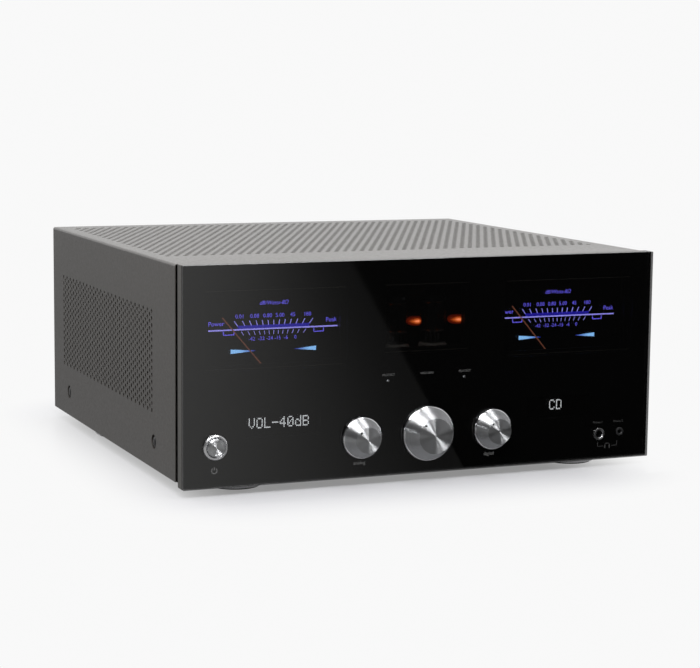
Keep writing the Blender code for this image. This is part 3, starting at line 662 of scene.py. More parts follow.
def make_knobs():
    """Flared knobs turned from bar, with a small drilled mark near the edge of the face."""
    for name, body, face_r, rim_r, reach in KNOBS:
        at = on_glass(name)
        waist = (face_r + rim_r) / 2 - 0.5
        edge = reach - CHAMFER
        outline = [(0, reach), (face_r - CHAMFER, reach), (face_r - 0.1, reach - 0.12), (face_r, edge)]
        for i in range(1, 12):
            t = i / 12
            line = face_r + (rim_r - 1.0 - face_r) * t
            sag = (waist - (face_r + rim_r - 1.0) / 2) * 4 * t * (1 - t)
            outline.append((line + sag, edge + (NECK - reach + CHAMFER) * t))
        outline += [(rim_r - 1.0, NECK), (rim_r - 0.25, 2.95), (rim_r, 2.5), (rim_r, 1.0)]
        outline += [(rim_r - 0.4, 0.7), (SPINDLE_R, 0.7), (SPINDLE_R, SPINDLE_END), (0, SPINDLE_END)]
        obj = turned_piece(
            name + "_turned", outline, at, FRONT, 128, "spun", body, "spun_aluminium", (name,), angle=24,
        )
        band = [
            (rim_r - 1.5, 3.6), (rim_r - 1.0, 3.75), (rim_r - 0.4, 3.4), (rim_r - 0.05, 2.8),
            (rim_r + 0.05, 2.2), (rim_r + 0.05, 1.1), (rim_r - 0.5, 0.8), (rim_r - 1.5, 0.8),
        ]
        turned_piece(
            name + "_rim", band, at, FRONT, 128, "chrome", body, "spun_aluminium", closed=True, angle=30,
        )
        cutter = Builder()
        away = (face_r - MARK_INSET) * MM
        x, z = math.sin(MARK_ANGLE) * away, math.cos(MARK_ANGLE) * away
        dot = at + Vector((x, -(reach + CHAMFER) * MM, z))
        cutter.turned(
            [(0, 1.3), (0.7, 1.1), (1.15, 0.6), (1.3, 0), (1.15, -0.6), (0.7, -1.1), (0, -1.3)], dot,
            FRONT, 24,
        )
        tool = link(bpy.data.objects.new("mark_cutter", cutter.mesh("mark_cutter")))
        step = obj.modifiers.new("mark", "BOOLEAN")
        step.operation = "DIFFERENCE"
        step.object = tool
        frozen(obj)
        shade(obj.data, 24)
        bpy.data.objects.remove(tool)
        turned_piece(
            name + "_mark", [(0, 0.2), (0.85, 0.2), (0.85, 0), (0, 0)], dot + Vector((0, 1.1 * MM, 0)),
            FRONT, 24, "black_plastic", body, "black_plastic",
        )


def make_power_button():
    """A dished button, turned like the knobs, in a satin bezel."""
    at = on_glass("power_bezel")
    outline = [
        (8.0, 2.3), (8.15, 2.7), (8.5, 2.9), (9.2, 2.9), (9.7, 2.65), (10.3, 1.9), (10.5, 1.4),
        (10.5, 0.3), (8.7, 0.3), (8.7, -13.2), (8.0, -13.2),
    ]
    turned_piece(
        "power_bezel_turned", outline, at, FRONT, 96, "satin_chrome", CHASSIS, "chrome",
        ("power_bezel",), closed=True, angle=28,
    )
    dish = [(DISH_R * i / 12, 3.6 + 0.4 * (i / 12) ** 2) for i in range(13)]
    outline = [*dish, (5.6, 4.35), (5.9, 4.5), (6.7, 4.45), (7.15, 4.2), (7.4, 3.8)]
    outline += [(7.4, -8.0), (2.5, -8.0), (2.5, -18.0), (0, -18.0)]
    turned_piece(
        "power_button_turned", outline, at, FRONT, 96, "spun", "power_button", "spun_aluminium",
        ("power_button",), angle=28,
    )


def make_jacks():
    jacks = (
        ("headphone_jack_large", 5.2, 3.25, 8.5, 30, "plated", "chrome"),
        ("headphone_jack_small", 3.7, 1.85, 5.5, 20, "black_plastic", "black_plastic"),
    )
    for name, ring_r, bore_r, block, depth, look, slot in jacks:
        at = on_glass(name)
        outline = [
            (bore_r, 1.0), (bore_r + 0.35, 1.4), (ring_r - 0.9, 1.5), (ring_r - 0.25, 1.3),
            (ring_r - 0.05, 0.9), (ring_r - 0.3, 0.3), (bore_r + 0.95, 0.3), (bore_r + 0.95, -17),
            (bore_r, -17),
        ]
        turned_piece(name + "_ring", outline, at, FRONT, 64, look, CHASSIS, slot, closed=True)
        inside = Builder()
        outline = [
            (bore_r + 0.9, -17.3), (bore_r, -17.3), (bore_r, -depth), (0, -depth), (0, -depth - 2),
            (bore_r + 0.9, -depth - 2),
        ]
        inside.turned(outline, at, FRONT, 48, closed=True)
        inner, outer = (bore_r + 1.2) * MM, block * MM
        for side in (-1, 1):
            x0, x1 = sorted((at.x + side * inner, at.x + side * outer))
            inside.block((x0, deep(16.3), at.z - outer), (x1, deep(depth + 4), at.z + outer))
            z0, z1 = sorted((at.z + side * inner, at.z + side * outer))
            inside.block((at.x - inner, deep(16.3), z0), (at.x + inner, deep(depth + 4), z1))
        inside.done(name + "_body", "black_plastic", slot="black_plastic", stands_for=(name,))


# ---- meters and displays
TICKS, TICK_STEP = 13, math.radians(5.83)
UPPER_NUMBERS = ("0.01", "0.08", "0.80", "5.00", "45", "180")
LOWER_NUMBERS = ("-42", "-32", "-24", "-15", "-6", "0")
SCALE_X = 131.3 * MM
PIVOT_Z = 90.8 * MM
PRINT_DEPTH = 18.55
LINE_Z, BAND_Z = 132.6, 134.6


def make_meter_scales():
    """Each scale is printed on the dial: two rows of ticks that fan out from the needle's pivot."""
    for side, sign in SIDES:
        centre = sign * SCALE_X
        y0, y1 = deep(PRINT_DEPTH - 0.08), deep(PRINT_DEPTH)

        def at(u, z, centre=centre):
            return (centre + u * MM, z * MM)

        def along(angle, z):
            return math.tan(angle) * (z - PIVOT_Z / MM)

        line = Builder()
        line.stroke(at(-56.3, LINE_Z), at(56.3, LINE_Z), 1.15 * MM, y0, y1)
        line.done(f"scale_line_{side}", "line_blue", slot="meter_dial")

        band = Builder()
        end = along(6 * TICK_STEP, BAND_Z) + 0.6
        band.stroke(at(-end, BAND_Z), at(end, BAND_Z), 2.6 * MM, y0, y1)
        band.done(f"scale_band_{side}", "band_blue", slot="meter_dial")

        ticks = Builder()
        for i in range(TICKS):
            angle = (i - 6) * TICK_STEP
            for low, high, width in ((135.6, 139.7, 0.7), (127.9, 131.0, 0.5)):
                ticks.stroke(at(along(angle, low), low), at(along(angle, high), high), width * MM, y0, y1)
        ticks.done(f"scale_ticks_{side}", "tick_blue", slot="meter_dial")

        ink = Builder()
        for k, (upper, lower) in enumerate(zip(UPPER_NUMBERS, LOWER_NUMBERS)):
            angle = (2 * k + 1 - 6) * TICK_STEP
            for text, size, arm, base in ((upper, 4.6, 143.5, 141.9), (lower, 4.3, 124.8, 123.3)):
                x, z = at(along(angle, arm), base)
                ink.words(text, size, (x, y1, z))
        for word, u, z in (("Power", -49.6, 136.3), ("Peak", 50.6, 136.3)):
            x, z = at(u, z)
            ink.words(word, 5.2, (x, y1, z))
        x, z = at(0, 152.3)
        ink.words("dB/Watts-8\u03a9", 4.6, (x, y1, z), slant=0.25)
        for low_u, high_u in ((-43.4, -34.4), (35.2, 43.8)):
            bracket = ((low_u, 131.6), (low_u, 128.6), (high_u, 128.6), (high_u, 131.6))
            ink.line([at(*corner) for corner in bracket], 0.7 * MM, y0, y1)
        ink.done(f"scale_print_{side}", "print_blue", slot="meter_dial")

        wedge = Builder()
        for thick, thin in ((-37.2, -15.9), (37.3, 18.5)):
            wedge.prism([at(thick, 116.7), at(thin, 115.0), at(thin, 114.7), at(thick, 113.1)], y0, y1)
        wedge.done(f"scale_wedges_{side}", "wedge_blue", slot="meter_dial")


GLYPHS = {
    "V": ("10001", "10001", "10001", "10001", "10001", "01010", "00100"),
    "O": ("01110", "10001", "10001", "10001", "10001", "10001", "01110"),
    "L": ("10000", "10000", "10000", "10000", "10000", "10000", "11111"),
    "-": ("00000", "00000", "00000", "11111", "00000", "00000", "00000"),
    "4": ("00010", "00110", "01010", "10010", "11111", "00010", "00010"),
    "0": ("01110", "10001", "10011", "10101", "11001", "10001", "01110"),
    "d": ("00001", "00001", "01101", "10011", "10001", "10001", "01111"),
    "B": ("11110", "10001", "10001", "11110", "10001", "10001", "11110"),
    "C": ("01110", "10001", "10000", "10000", "10000", "10001", "01110"),
    "D": ("11110", "10001", "10001", "10001", "10001", "10001", "11110"),
}
DOT_PITCH = (1.10, 1.27)
DOT_SIZE, DOT_TALLER = 0.84, 1.2
DOT_DEPTHS = 12.42, 12.5
CELL = 6.75
DISPLAY_BASE_Z = 51.6


def make_display_text():
    """Dot-matrix characters: the lit dots, and the faint ones that are off."""
    for name, text, left in (("left", "VOL-40dB", -154.9), ("right", "CD", 122.2)):
        on, off = Builder(), Builder()
        thick = [deep(d) for d in DOT_DEPTHS]
        for k, letter in enumerate(text):
            for row, cells in enumerate(GLYPHS[letter]):
                for column, cell in enumerate(cells):
                    x = left + k * CELL + column * DOT_PITCH[0]
                    z = DISPLAY_BASE_Z + (6 - row) * DOT_PITCH[1]
                    target = on if cell == "1" else off
                    target.slab((x, x + DOT_SIZE), thick, (z, z + DOT_SIZE * DOT_TALLER))
        on.done(f"display_dots_{name}", "lit_dot", slot="display")
        off.done(f"display_off_dots_{name}", "off_dot", slot="display")


# ---- print and windows on the front
FRONT_PRINT_DEPTH, WINDOW_DEPTH, WINDOW_LINE = 3.16, 3.3, 0.45


def make_front_print():
    """Generic words for the controls, printed on the back of the glass. The print and icons glow, painted
    light for the light on white ink.
    """
    y = deep(FRONT_PRINT_DEPTH)
    words = Builder()
    for text, x, z, size in (
        ("analog", -60.6, 17.6, 4.2), ("digital", 59.6, 17.6, 4.2), ("PROTECT", -34.9, 90.6, 2.6),
        ("L", -34.9, 86.0, 2.6), ("HIGH BIAS", 0.3, 90.6, 2.6), ("PROTECT", 35.4, 90.6, 2.6),
        ("R", 35.4, 86.0, 2.6),
    ):
        words.words(text, size, (x * MM, y, z * MM))
    words.done("front_print", "front_ink_painted_glow")

    jacks = Builder()
    for text, x in (("Phones 1", 165.6), ("Phones 2", 186.2)):
        jacks.words(text, 2.6, (x * MM, y, 38.6 * MM))
    jacks.done("jack_print", "front_ink_painted_glow_dim")

    face = y - PRINT_THICK * MM, y
    icons = Builder()
    x, z = -187.6 * MM, 21.0 * MM
    gap = math.radians(35)
    turn = 2 * math.pi - 2 * gap
    arc = [math.pi / 2 + gap + turn * i / 20 for i in range(21)]
    icons.line(arc_points(2.3 * MM, (x, z), arc), 0.7 * MM, *face)
    icons.stroke((x, z + 0.4 * MM), (x, z + 3.0 * MM), 0.7 * MM, *face)
    icons.done("power_icon", "front_ink_painted_glow")
    icons = Builder()
    x, z = 175.6 * MM, 18.0 * MM
    arc = [math.pi * i / 14 for i in range(15)]
    icons.line(arc_points(2.4 * MM, (x, z), arc), 0.5 * MM, *face)
    for side in (-1, 1):
        ear = x + side * 2.2 * MM
        icons.stroke((ear, z + 0.3 * MM), (ear, z - 1.9 * MM), 1.1 * MM, *face)
        inner, outer = x + side * 4.2 * MM, x + side * 9.6 * MM
        icons.line([(inner, z), (outer, z), (outer, z + 4.2 * MM)], 0.35 * MM, *face)
    icons.done("front_icons", "front_ink_painted_glow_dim")

    leds = Builder()
    for sign in (-1, 1):
        leds.turned(
            [(0, 0.5), (0.7, 0.3), (1.0, 0), (1.0, -6), (0, -6)],
            (sign * 35.2 * MM, deep(6.0), 86.5 * MM), FRONT, 20,
        )
    leds.done("status_lights", "led")


def make_painted_window_highlights():
    """The thin bright edges of the windows in the frame behind the glass, as painted highlights: light
    strips where light catches those edges.
    """
    windows = (
        ("meter_left", -134.6, 134.6, 121.3, 63.4),
        ("meter_right", 134.6, 134.6, 121.3, 63.4),
        ("tube", 0, 138.5, 77, 56),
    )
    thick = deep(WINDOW_DEPTH - 0.12), deep(WINDOW_DEPTH + 0.3)
    for name, x, z, wide, high in windows:
        trim = Builder()
        x0, x1 = (x - wide / 2) * MM, (x + wide / 2) * MM
        for sign in (-1, 1):
            edge_z = (z + sign * high / 2) * MM
            trim.stroke((x0, edge_z), (x1, edge_z), WINDOW_LINE * MM, *thick)
        trim.done(f"window_painted_highlight_{name}", "trim", slot="frame_metal")


# ---- valves
TUBE_R, TUBE_BASE_Z, TUBE_HIGH = 11.0, 113.7, 51.0
LAMP_AT = (-3.0, 35.6)
PLATE_X = 4.3


def make_valves():
    envelope = [
        (0, 1.0), (0.06, 0.998), (0.11, 0.985), (0.13, 0.965), (0.17, 0.945), (0.3, 0.93), (0.5, 0.91),
        (0.7, 0.88), (0.86, 0.845), (0.96, 0.80), (1.0, 0.745), (1.0, 0.05), (0.975, 0.02),
        (0.9, 0.004), (0.8, 0), (0, 0),
    ]
    for side, _ in SIDES:
        x, y, _ = middle(f"tube_{side}")
        seat = Vector((x, y, TUBE_BASE_Z * MM))
        turned_piece(
            f"tube_envelope_{side}", [(r * TUBE_R, h * TUBE_HIGH) for r, h in envelope], seat, UP, 64,
            "tube_glass", CHASSIS, "tube_glass", (f"tube_{side}",),
        )

        plates = Builder()
        for k in (-1, 1):
            for wide, deep_by, z0, z1 in (
                (3.4, 5.2, 11, 33), (3.7, 5.5, 16, 16.8), (3.7, 5.5, 22, 22.8), (3.7, 5.5, 28, 28.8),
            ):
                plates.block(
                    (x + (k * PLATE_X - wide) * MM, y - deep_by * MM, seat.z + z0 * MM),
                    (x + (k * PLATE_X + wide) * MM, y + deep_by * MM, seat.z + z1 * MM),
                )
        soften(plates.done(f"tube_plates_{side}", "anode", slot="tube_glass"), 0.5)

        wires = Builder()
        for k in (-1, 1):
            for dx, dy in ((-2.2, 0), (2.2, 0), (0, 3.4), (0, -3.4)):
                spot = Vector((x + (k * PLATE_X + dx) * MM, y + dy * MM, 0))
                wires.rod(spot + UP * (seat.z + 4 * MM), spot + UP * (seat.z + 37 * MM), 0.35, 10)
        for i in range(9):
            angle = math.radians(36 * i + 18)
            spot = Vector((x + 5.9 * MM * math.cos(angle), y + 5.9 * MM * math.sin(angle), 0))
            wires.rod(spot + UP * (seat.z + 0.4 * MM), spot + UP * (seat.z + 8 * MM), 0.5, 10)
        wires.done(f"tube_wires_{side}", "plated", slot="tube_glass")

        discs = Builder()
        for z in (9.6, 34.4):
            discs.turned([(0, 0.4), (9.7, 0.4), (9.7, 0), (0, 0)], seat + UP * z * MM, UP, 40)
        discs.done(f"tube_spacers_{side}", "mica", slot="tube_glass")

        inner = [(r * (TUBE_R - 0.35), h * TUBE_HIGH - 0.5) for r, h in envelope[4:11]]
        top = inner[0][1]
        flash = [(0, top), *inner, (TUBE_R - 0.35, 36.4), (TUBE_R - 0.55, 36.4), (0, top - 0.4)]
        turned_piece(f"tube_getter_{side}", flash, seat, UP, 48, "getter", CHASSIS, "tube_glass")

        glow = Builder()
        for k in (-1, 1):
            spot = Vector((x + k * PLATE_X * MM, y, 0))
            glow.rod(spot + UP * (seat.z + 10.2 * MM), spot + UP * (seat.z + 10.9 * MM), 1.0, 16)
            glow.rod(spot + UP * (seat.z + 33.2 * MM), spot + UP * (seat.z + 34.2 * MM), 0.9, 16)
        glow.done(f"tube_heaters_{side}", "heater", slot="amber_lamp")

    lens = [
        (0, 6.4), (1.2, 6.3), (2.2, 5.6), (3.2, 4.2), (4.0, 2.0), (4.6, -0.6), (4.8, -2.6),
        (4.6, -4.4), (3.6, -5.8), (2.0, -6.6), (0, -6.9),
    ]
    for i, x in enumerate(LAMP_AT):
        turned_piece(
            f"tube_lamp_lens_{i + 1}", lens, (x * MM, deep(25), 133 * MM), (-1, 0, 0), 48, "lamp",
            CHASSIS, "amber_lamp",
        )


# ---- feet
def make_feet():
    shell = [
        (0, 10.7), (21.6, 10.7), (23.2, 10.45), (24.2, 9.9), (24.6, 9.2), (24.6, 4.6), (24.45, 3.6),
        (24.1, 2.6), (23.5, 1.8), (22.9, 1.4), (22.4, 1.3), (21.5, 1.3), (21.3, 1.5), (21.3, 3.4),
        (0, 3.4),
    ]
    pad = [(0, 3.1), (20.9, 3.1), (20.9, 0.5), (20.6, 0.1), (20.3, 0), (0, 0)]
    for place in ("front", "rear"):
        for side, _ in SIDES:
            which = f"{place}_{side}"
            x, y, _ = middle(f"foot_{which}")
            turned_piece(
                f"foot_shell_{which}", shell, (x, y, 0), UP, 96, "foot_metal", CHASSIS, "chrome",
                (f"foot_{which}",), angle=28,
            )
            turned_piece(
                f"foot_rubber_{which}", pad, (x, y, 0), UP, 72, "rubber", CHASSIS, "rubber",
                (f"foot_pad_{which}",),
            )


# ---- back panel detail
RCA_X, RCA_PITCH, SOCKET_Z = 100, 16, 132
USB_X = -5.0
POST_X, POST_Z = (-79.525, -60.475, 60.475, 79.525), 44
INLET_X, INLET_Z = -170, 46


def make_rear_sockets():
    """Barrels and colour rings of the round sockets, and the digital block with its ports."""
    barrels, cores = Builder(), Builder()
    rings = {tint: Builder() for tint in ("white", "red", "orange")}
    rca = middle("rca_socket_block")
    places = [
        (RCA_X + (column - 3) * RCA_PITCH, SOCKET_Z + up, tint)
        for up, tint in ((-10, "red"), (10, "white"))
        for column in range(7)
    ]
    places += [(x, SOCKET_Z, "orange") for x in (-78, -62)]
    for x, z, tint in places:
        at = at_rear(x, z)
        outline = [(3.3, 9.6), (3.9, 9.6), (4.3, 9.2), (4.3, 2.2), (5.4, 2.2), (5.4, 1.3), (3.3, 1.3)]
        barrels.turned(outline, at, BACK, 40, closed=True)
        cores.turned([(1.6, 8.7), (3.25, 8.7), (3.25, 1.3), (1.6, 1.3)], at, BACK, 28, closed=True)
        rings[tint].turned(
            [(5.5, 2.0), (6.9, 2.0), (7.1, 1.7), (7.1, 1.25), (5.5, 1.25)], at, BACK, 40, closed=True,
        )
    barrels.done("socket_barrels", "plated", slot="plated_block")
    cores.done("socket_cores", "black_plastic", slot="plated_block")
    for tint, ring in rings.items():
        ring.done(f"socket_rings_{tint}", f"ring_{tint}", slot="plated_block")
    block = Builder()
    block.block(
        (rca.x - 55 * MM, REAR_Y - 14 * MM, rca.z - 18 * MM),
        (rca.x + 55 * MM, REAR_Y + 1.2 * MM, rca.z + 18 * MM),
    )
    soften(
        block.done("socket_block_body", "black_plastic", CHASSIS, "black_plastic", ("rca_socket_block",)),
        0.5,
    )
    plate = Builder()
    inside, face = REAR_Y - 16 * MM, REAR_Y + 1.0 * MM
    left, right = USB_X - 4.25, USB_X + 4.25
    for x, z in (
        ((-88, left), (122, 142)), ((right, 8), (122, 142)),
        ((left, right), (122, 128.1)), ((left, right), (135.9, 142)),
    ):
        plate.slab(x, (inside, face), z)
    plate.done("digital_block_body", "plated", CHASSIS, "plated_block", ("digital_socket_block",))
    shell = Builder()
    for x, z in (
        ((USB_X - 6, left), (126.6, 137.4)), ((right, USB_X + 6), (126.6, 137.4)),
        ((left, right), (126.6, 128.1)), ((left, right), (135.9, 137.4)),
    ):
        shell.slab(x, (face, REAR_Y + 2.5 * MM), z)
    shell.done("usb_shell", "brass", slot="plated_block")
    ports = Builder()
    ports.slab((USB_X - 2.9, USB_X + 2.9), (REAR_Y - 8.5 * MM, REAR_Y + 1.2 * MM), (130.4, 133.6))
    for x in (-44, -29):
        rim = face, REAR_Y + 3 * MM
        for near, far in ((-4.9, -3.4), (3.4, 4.9)):
            ports.slab((x + near, x + far), rim, (127.1, 136.9))
            ports.slab((x - 3.4, x + 3.4), rim, (SOCKET_Z + near, SOCKET_Z + far))
        ports.slab((x - 3.3, x + 3.3), (face, REAR_Y + 1.9 * MM), (128.7, 135.3))
    soften(ports.done("digital_block_ports", "black_plastic", slot="black_plastic"), 0.2)


def make_binding_posts():
    """Knurled caps over gold posts."""
    for i, x in enumerate(POST_X):
        tint = "cap_red" if i % 2 else "cap_black"
        at = at_rear(x, POST_Z)
        cap = Builder()
        steps = 96
        profile = [
            (3.5, 28.3), (6.2, 28.3), (6.9, 27.9), (7.4, 27.2), (7.4, 12.4), (6.9, 11.8), (6.9, 8.6),
            (6.7, 7.3), (3.5, 7.3),
        ]
        rings = []
        for radius, height in profile:
            ring = []
            for k in range(steps):
                groove = 0.35 if radius == 7.4 and k % 6 in (0, 1) else 0.0
                angle = 2 * math.pi * k / steps
                r = (radius - groove) * MM
                spot = Vector((r * math.cos(angle), height * MM, r * math.sin(angle)))
                ring.append(cap.bm.verts.new(at + spot))
            rings.append(ring)
        cap.skin([
            (upper[k], lower[k], lower[(k + 1) % steps], upper[(k + 1) % steps])
            for upper, lower in zip(rings, rings[1:] + rings[:1])
            for k in range(steps)
        ])
        cap.done(
            f"post_cap_knurled_{i + 1}", tint, f"post_cap_{i + 1}", f"post_{tint}",
            (f"speaker_post_cap_{i + 1}",),
        )
        post = Builder()
        post.turned(
            [(1.9, 24.5), (2.6, 24.6), (3.1, 24.2), (3.1, 3.0), (1.9, 3.0)], at, BACK, 40, closed=True,
        )
        post.turned(
            [(3.15, 7.2), (6.3, 7.2), (6.7, 6.9), (6.7, 3.05), (3.15, 3.05)], at, BACK, 48, closed=True,
        )
        post.done(f"post_gold_{i + 1}", "gold", slot="plated_block")


def make_rear_trim():
    heads, slots = Builder(), Builder()
    spots = [(x, z) for x in (-206, 206) for z in (20, 98, 176)]
    spots += [(x, 180) for x in (-100, 0, 100)] + [(x, 16) for x in (-110, 110)]
    spots += [(48, 132), (152, 132), (-92, 132), (12, 132), (-88, 34), (88, 54), (-88, 54), (88, 34)]
    for x, z in spots:
        raised = 3.0 if abs(x) == 88 else 0.0
        scale = 0.75 if raised else 1.0
        head = [(0, 1.3), (1.6, 1.25), (2.5, 0.8), (2.9, 0.1), (2.9, 0), (0, 0)]
        head = [(r * scale, h * scale) for r, h in head]
        heads.turned(head, at_rear(x, z, raised + 0.02), BACK, 24)
        # The cross slots are flat black marks on the heads: painted shade standing in for the recess of
        # each slot.
        y = REAR_Y + (raised + 1.27 * scale) * MM
        for wide, high in ((1.3, 0.3), (0.3, 1.3)):
            wide, high = wide * scale, high * scale
            slots.slab((x - wide, x + wide), (y, y + 0.05 * MM), (z - high, z + high))
    heads.done("rear_screws", "black_screw", slot="black_screw")
    slots.done("rear_screw_slot_shade_marks", "black_plastic", slot="black_screw")

    words = Builder()
    for i, text in enumerate(("1", "2", "3", "4", "5", "PRE OUT", "REC OUT")):
        size = 3.4 if i < 5 else 2.7
        words.words(text, size, at_rear(RCA_X + (3 - i) * RCA_PITCH, 153.5, 0.05), BACK)
    for text, x, z, size in (
        ("L", 159, 140.6, 3.6), ("R", 159, 120.6, 3.6), ("LINE IN", 116, 160.5, 3.8),
        ("DIGITAL IN", -46, 150, 3.8), ("COAX", -70, 145, 2.8), ("OPT", -36.5, 145, 2.8),
        ("USB", USB_X, 145, 2.8), ("SPEAKERS", 0, 62.5, 4.2), ("L", 70, 62.5, 4.2),
        ("R", -70, 62.5, 4.2), ("POWER", INLET_X, 99.5, 3.8), ("AC IN", INLET_X, 62.3, 3.4),
    ):
        words.words(text, size, at_rear(x, z, 0.05), BACK)
    face = REAR_Y + 0.01 * MM, REAR_Y + 0.05 * MM
    for x0, x1, z in ((46, 154, 158.4), (-90, 10, 148.6)):
        words.stroke((x0 * MM, z * MM), (x1 * MM, z * MM), 0.35 * MM, *face)
    words.done("rear_print", "rear_ink", slot="black_steel")

    signs = Builder()
    for sign_x, text in ((-79.5, "-"), (-60.5, "+"), (60.5, "-"), (79.5, "+")):
        signs.words(text, 5.0, at_rear(sign_x, 52.6, 3.05), BACK)
    signs.done("post_signs", "rear_ink", slot="black_plastic")

    pins = Builder()
    for dx, dz in ((-7, -2.2), (7, -2.2), (0, 2.4)):
        x, z = INLET_X + dx, INLET_Z + dz
        pins.slab((x - 1.0, x + 1.0), (REAR_Y - 15.5 * MM, REAR_Y - 1.5 * MM), (z - 2.1, z + 2.1))
    soften(pins.done("inlet_pins", "brass", slot="plated_block"), 0.35)


# ---- finishes
FINISHES = {
    "paint": ("taupe_paint", (0.060, 0.055, 0.050), 0.38, 0.0, (0.10, 900), (0.05, 500), (0.035, 1300)),
    "black_steel": ("black_steel", (0.009, 0.009, 0.009), 0.5, 0.0, (0.2, 700), (0.07, 300), (0.03, 1300)),
    # The gap finish is painted shade: near black and without specular, so the subpanel and the strip in the
    # gap behind the front frame read as deep shadow.
    "gap_black": ("gap_black", (0.001, 0.001, 0.001), 0.8, 0.0, (0.3, 300), (0.08, 300), (0.02, 1300)),
    "chrome": ("chrome", (0.80, 0.80, 0.82), 0.08, 1.0, (0.03, 40), (0.03, 120)),
    "satin_chrome": ("satin_chrome", (0.88, 0.88, 0.90), 0.28, 1.0, (0.03, 40), (0.03, 120)),
    "foot_metal": ("foot_metal", (0.84, 0.84, 0.86), 0.28, 1.0, (0.03, 40), (0.04, 120)),
    "rubber": ("rubber", (0.014, 0.014, 0.014), 0.8, 0.0, (0.25, 300), (0.06, 500), (0.03, 2000)),
    "black_plastic": (
        "black_plastic", (0.012, 0.012, 0.013), 0.42, 0.0, (0.2, 200), (0.06, 400), (0.02, 2500),
    ),
    "black_screw": ("black_screw", (0.012, 0.012, 0.013), 0.32, 0.6, (0.2, 200), (0.06, 400), (0.01, 2500)),
    "dial": ("dial_black", (0.002, 0.002, 0.004), 0.6, 0.0, (0.3, 60), (0.08, 200), (0.01, 3000)),
    "display": ("display_glass", (0.002, 0.002, 0.002), 0.5, 0.0, (0.2, 100), (0.05, 300)),
    "ceramic": ("ceramic", (0.62, 0.60, 0.55), 0.45, 0.0, (0.1, 150), (0.08, 300), (0.02, 1500)),
    "amber_strip": ("amber_board", (0.012, 0.012, 0.012), 0.5, 0.0, (0.2, 200), (0.08, 300)),
    "heat_sink": ("heat_sink_black", (0.018, 0.018, 0.02), 0.42, 0.5, (0.2, 90), (0.08, 200), (0.02, 900)),
    "winding": ("winding_film", (0.20, 0.07, 0.03), 0.3, 0.0, (0.3, 400), (0.1, 200), (0.05, 600)),
    "zinc": ("zinc_steel", (0.45, 0.46, 0.48), 0.35, 0.9, (0.15, 60), (0.1, 100)),
    "board": ("circuit_board", (0.015, 0.06, 0.03), 0.45, 0.0, (0.3, 150), (0.1, 300), (0.03, 500)),
    "sleeve": ("capacitor_sleeve", (0.015, 0.016, 0.03), 0.3, 0.0, (0.2, 80), (0.08, 200)),
    "plated": ("plated_metal", (0.50, 0.50, 0.51), 0.28, 1.0, (0.08, 80), (0.08, 200)),
    "brass": ("nickel_shell", (0.62, 0.61, 0.60), 0.22, 1.0, (0.06, 80), (0.06, 200)),
    "gold": ("gold_plate", (0.80, 0.56, 0.22), 0.2, 1.0, (0.08, 80), (0.06, 200)),
    "cap_black": ("cap_black", (0.012, 0.012, 0.013), 0.35, 0.0, (0.2, 100), (0.08, 200), (0.01, 2500)),
    "cap_red": ("cap_red", (0.42, 0.012, 0.012), 0.35, 0.0, (0.15, 100), (0.08, 200), (0.01, 2500)),
    "ring_red": ("ring_red", (0.45, 0.015, 0.012), 0.4, 0.0, (0.1, 100), (0.08, 200)),
    "ring_white": ("ring_white", (0.65, 0.65, 0.63), 0.4, 0.0, (0.06, 100), (0.08, 200)),
    "ring_orange": ("ring_orange", (0.65, 0.16, 0.02), 0.4, 0.0, (0.08, 100), (0.08, 200)),
    "rear_ink": ("white_print", (0.62, 0.62, 0.60), 0.55, 0.0, (0.05, 500), (0.08, 400)),
    "off_dot": ("display_dot_off", (0.004, 0.004, 0.004), 0.5, 0.0, (0.2, 300), (0.08, 400)),
    # The window edge finish is a painted highlight: light strips where light catches the window edges.
    "trim": ("window_edge", (0.34, 0.32, 0.26), 0.4, 0.3, (0.15, 200), (0.08, 400)),
    "anode": ("anode_grey", (0.06, 0.06, 0.065), 0.5, 0.7, (0.2, 120), (0.1, 200), (0.03, 800)),
    "mica": ("mica", (0.35, 0.33, 0.30), 0.3, 0.0, (0.2, 150), (0.1, 200)),
    "getter": ("getter_flash", (0.28, 0.28, 0.30), 0.18, 1.0, (0.3, 120), (0.1, 200)),
}
SPECULAR_LEVELS = {"black_steel": 0.3, "gap_black": 0.0, "dial": 0.15, "display": 0.1, "off_dot": 0.1}
GLOWS = {
    # The needle's glow is painted light: it stands in for the meter's lamp lighting the orange needle.
    "needle": ("needle_orange", (0.62, 0.22, 0.13), 1.15, (0.3, 0.1, 0.05)),
    # The front print is white ink, and its glow is painted light for the light on it; the dim print glows
    # less.
    "front_ink_painted_glow": ("front_print", (0.9, 0.9, 0.9), 0.9, (0.3, 0.3, 0.3)),
    "front_ink_painted_glow_dim": ("front_print_dim", (0.9, 0.9, 0.9), 0.4, (0.2, 0.2, 0.2)),
    "led": ("white_light", (0.9, 0.95, 1.0), 3.0),
    "lit_dot": ("display_dot", (0.90, 0.93, 0.96), 5.0),
    "line_blue": ("scale_line", (0.36, 0.33, 1.0), 5.4),
    "print_blue": ("scale_print", (0.16, 0.13, 0.90), 5.8),
    "band_blue": ("scale_band", (0.03, 0.02, 0.62), 3.0),
    "tick_blue": ("scale_ticks", (0.34, 0.31, 0.95), 5.2),
    "heater": ("heater", (1.0, 0.22, 0.04), 0.4),
}


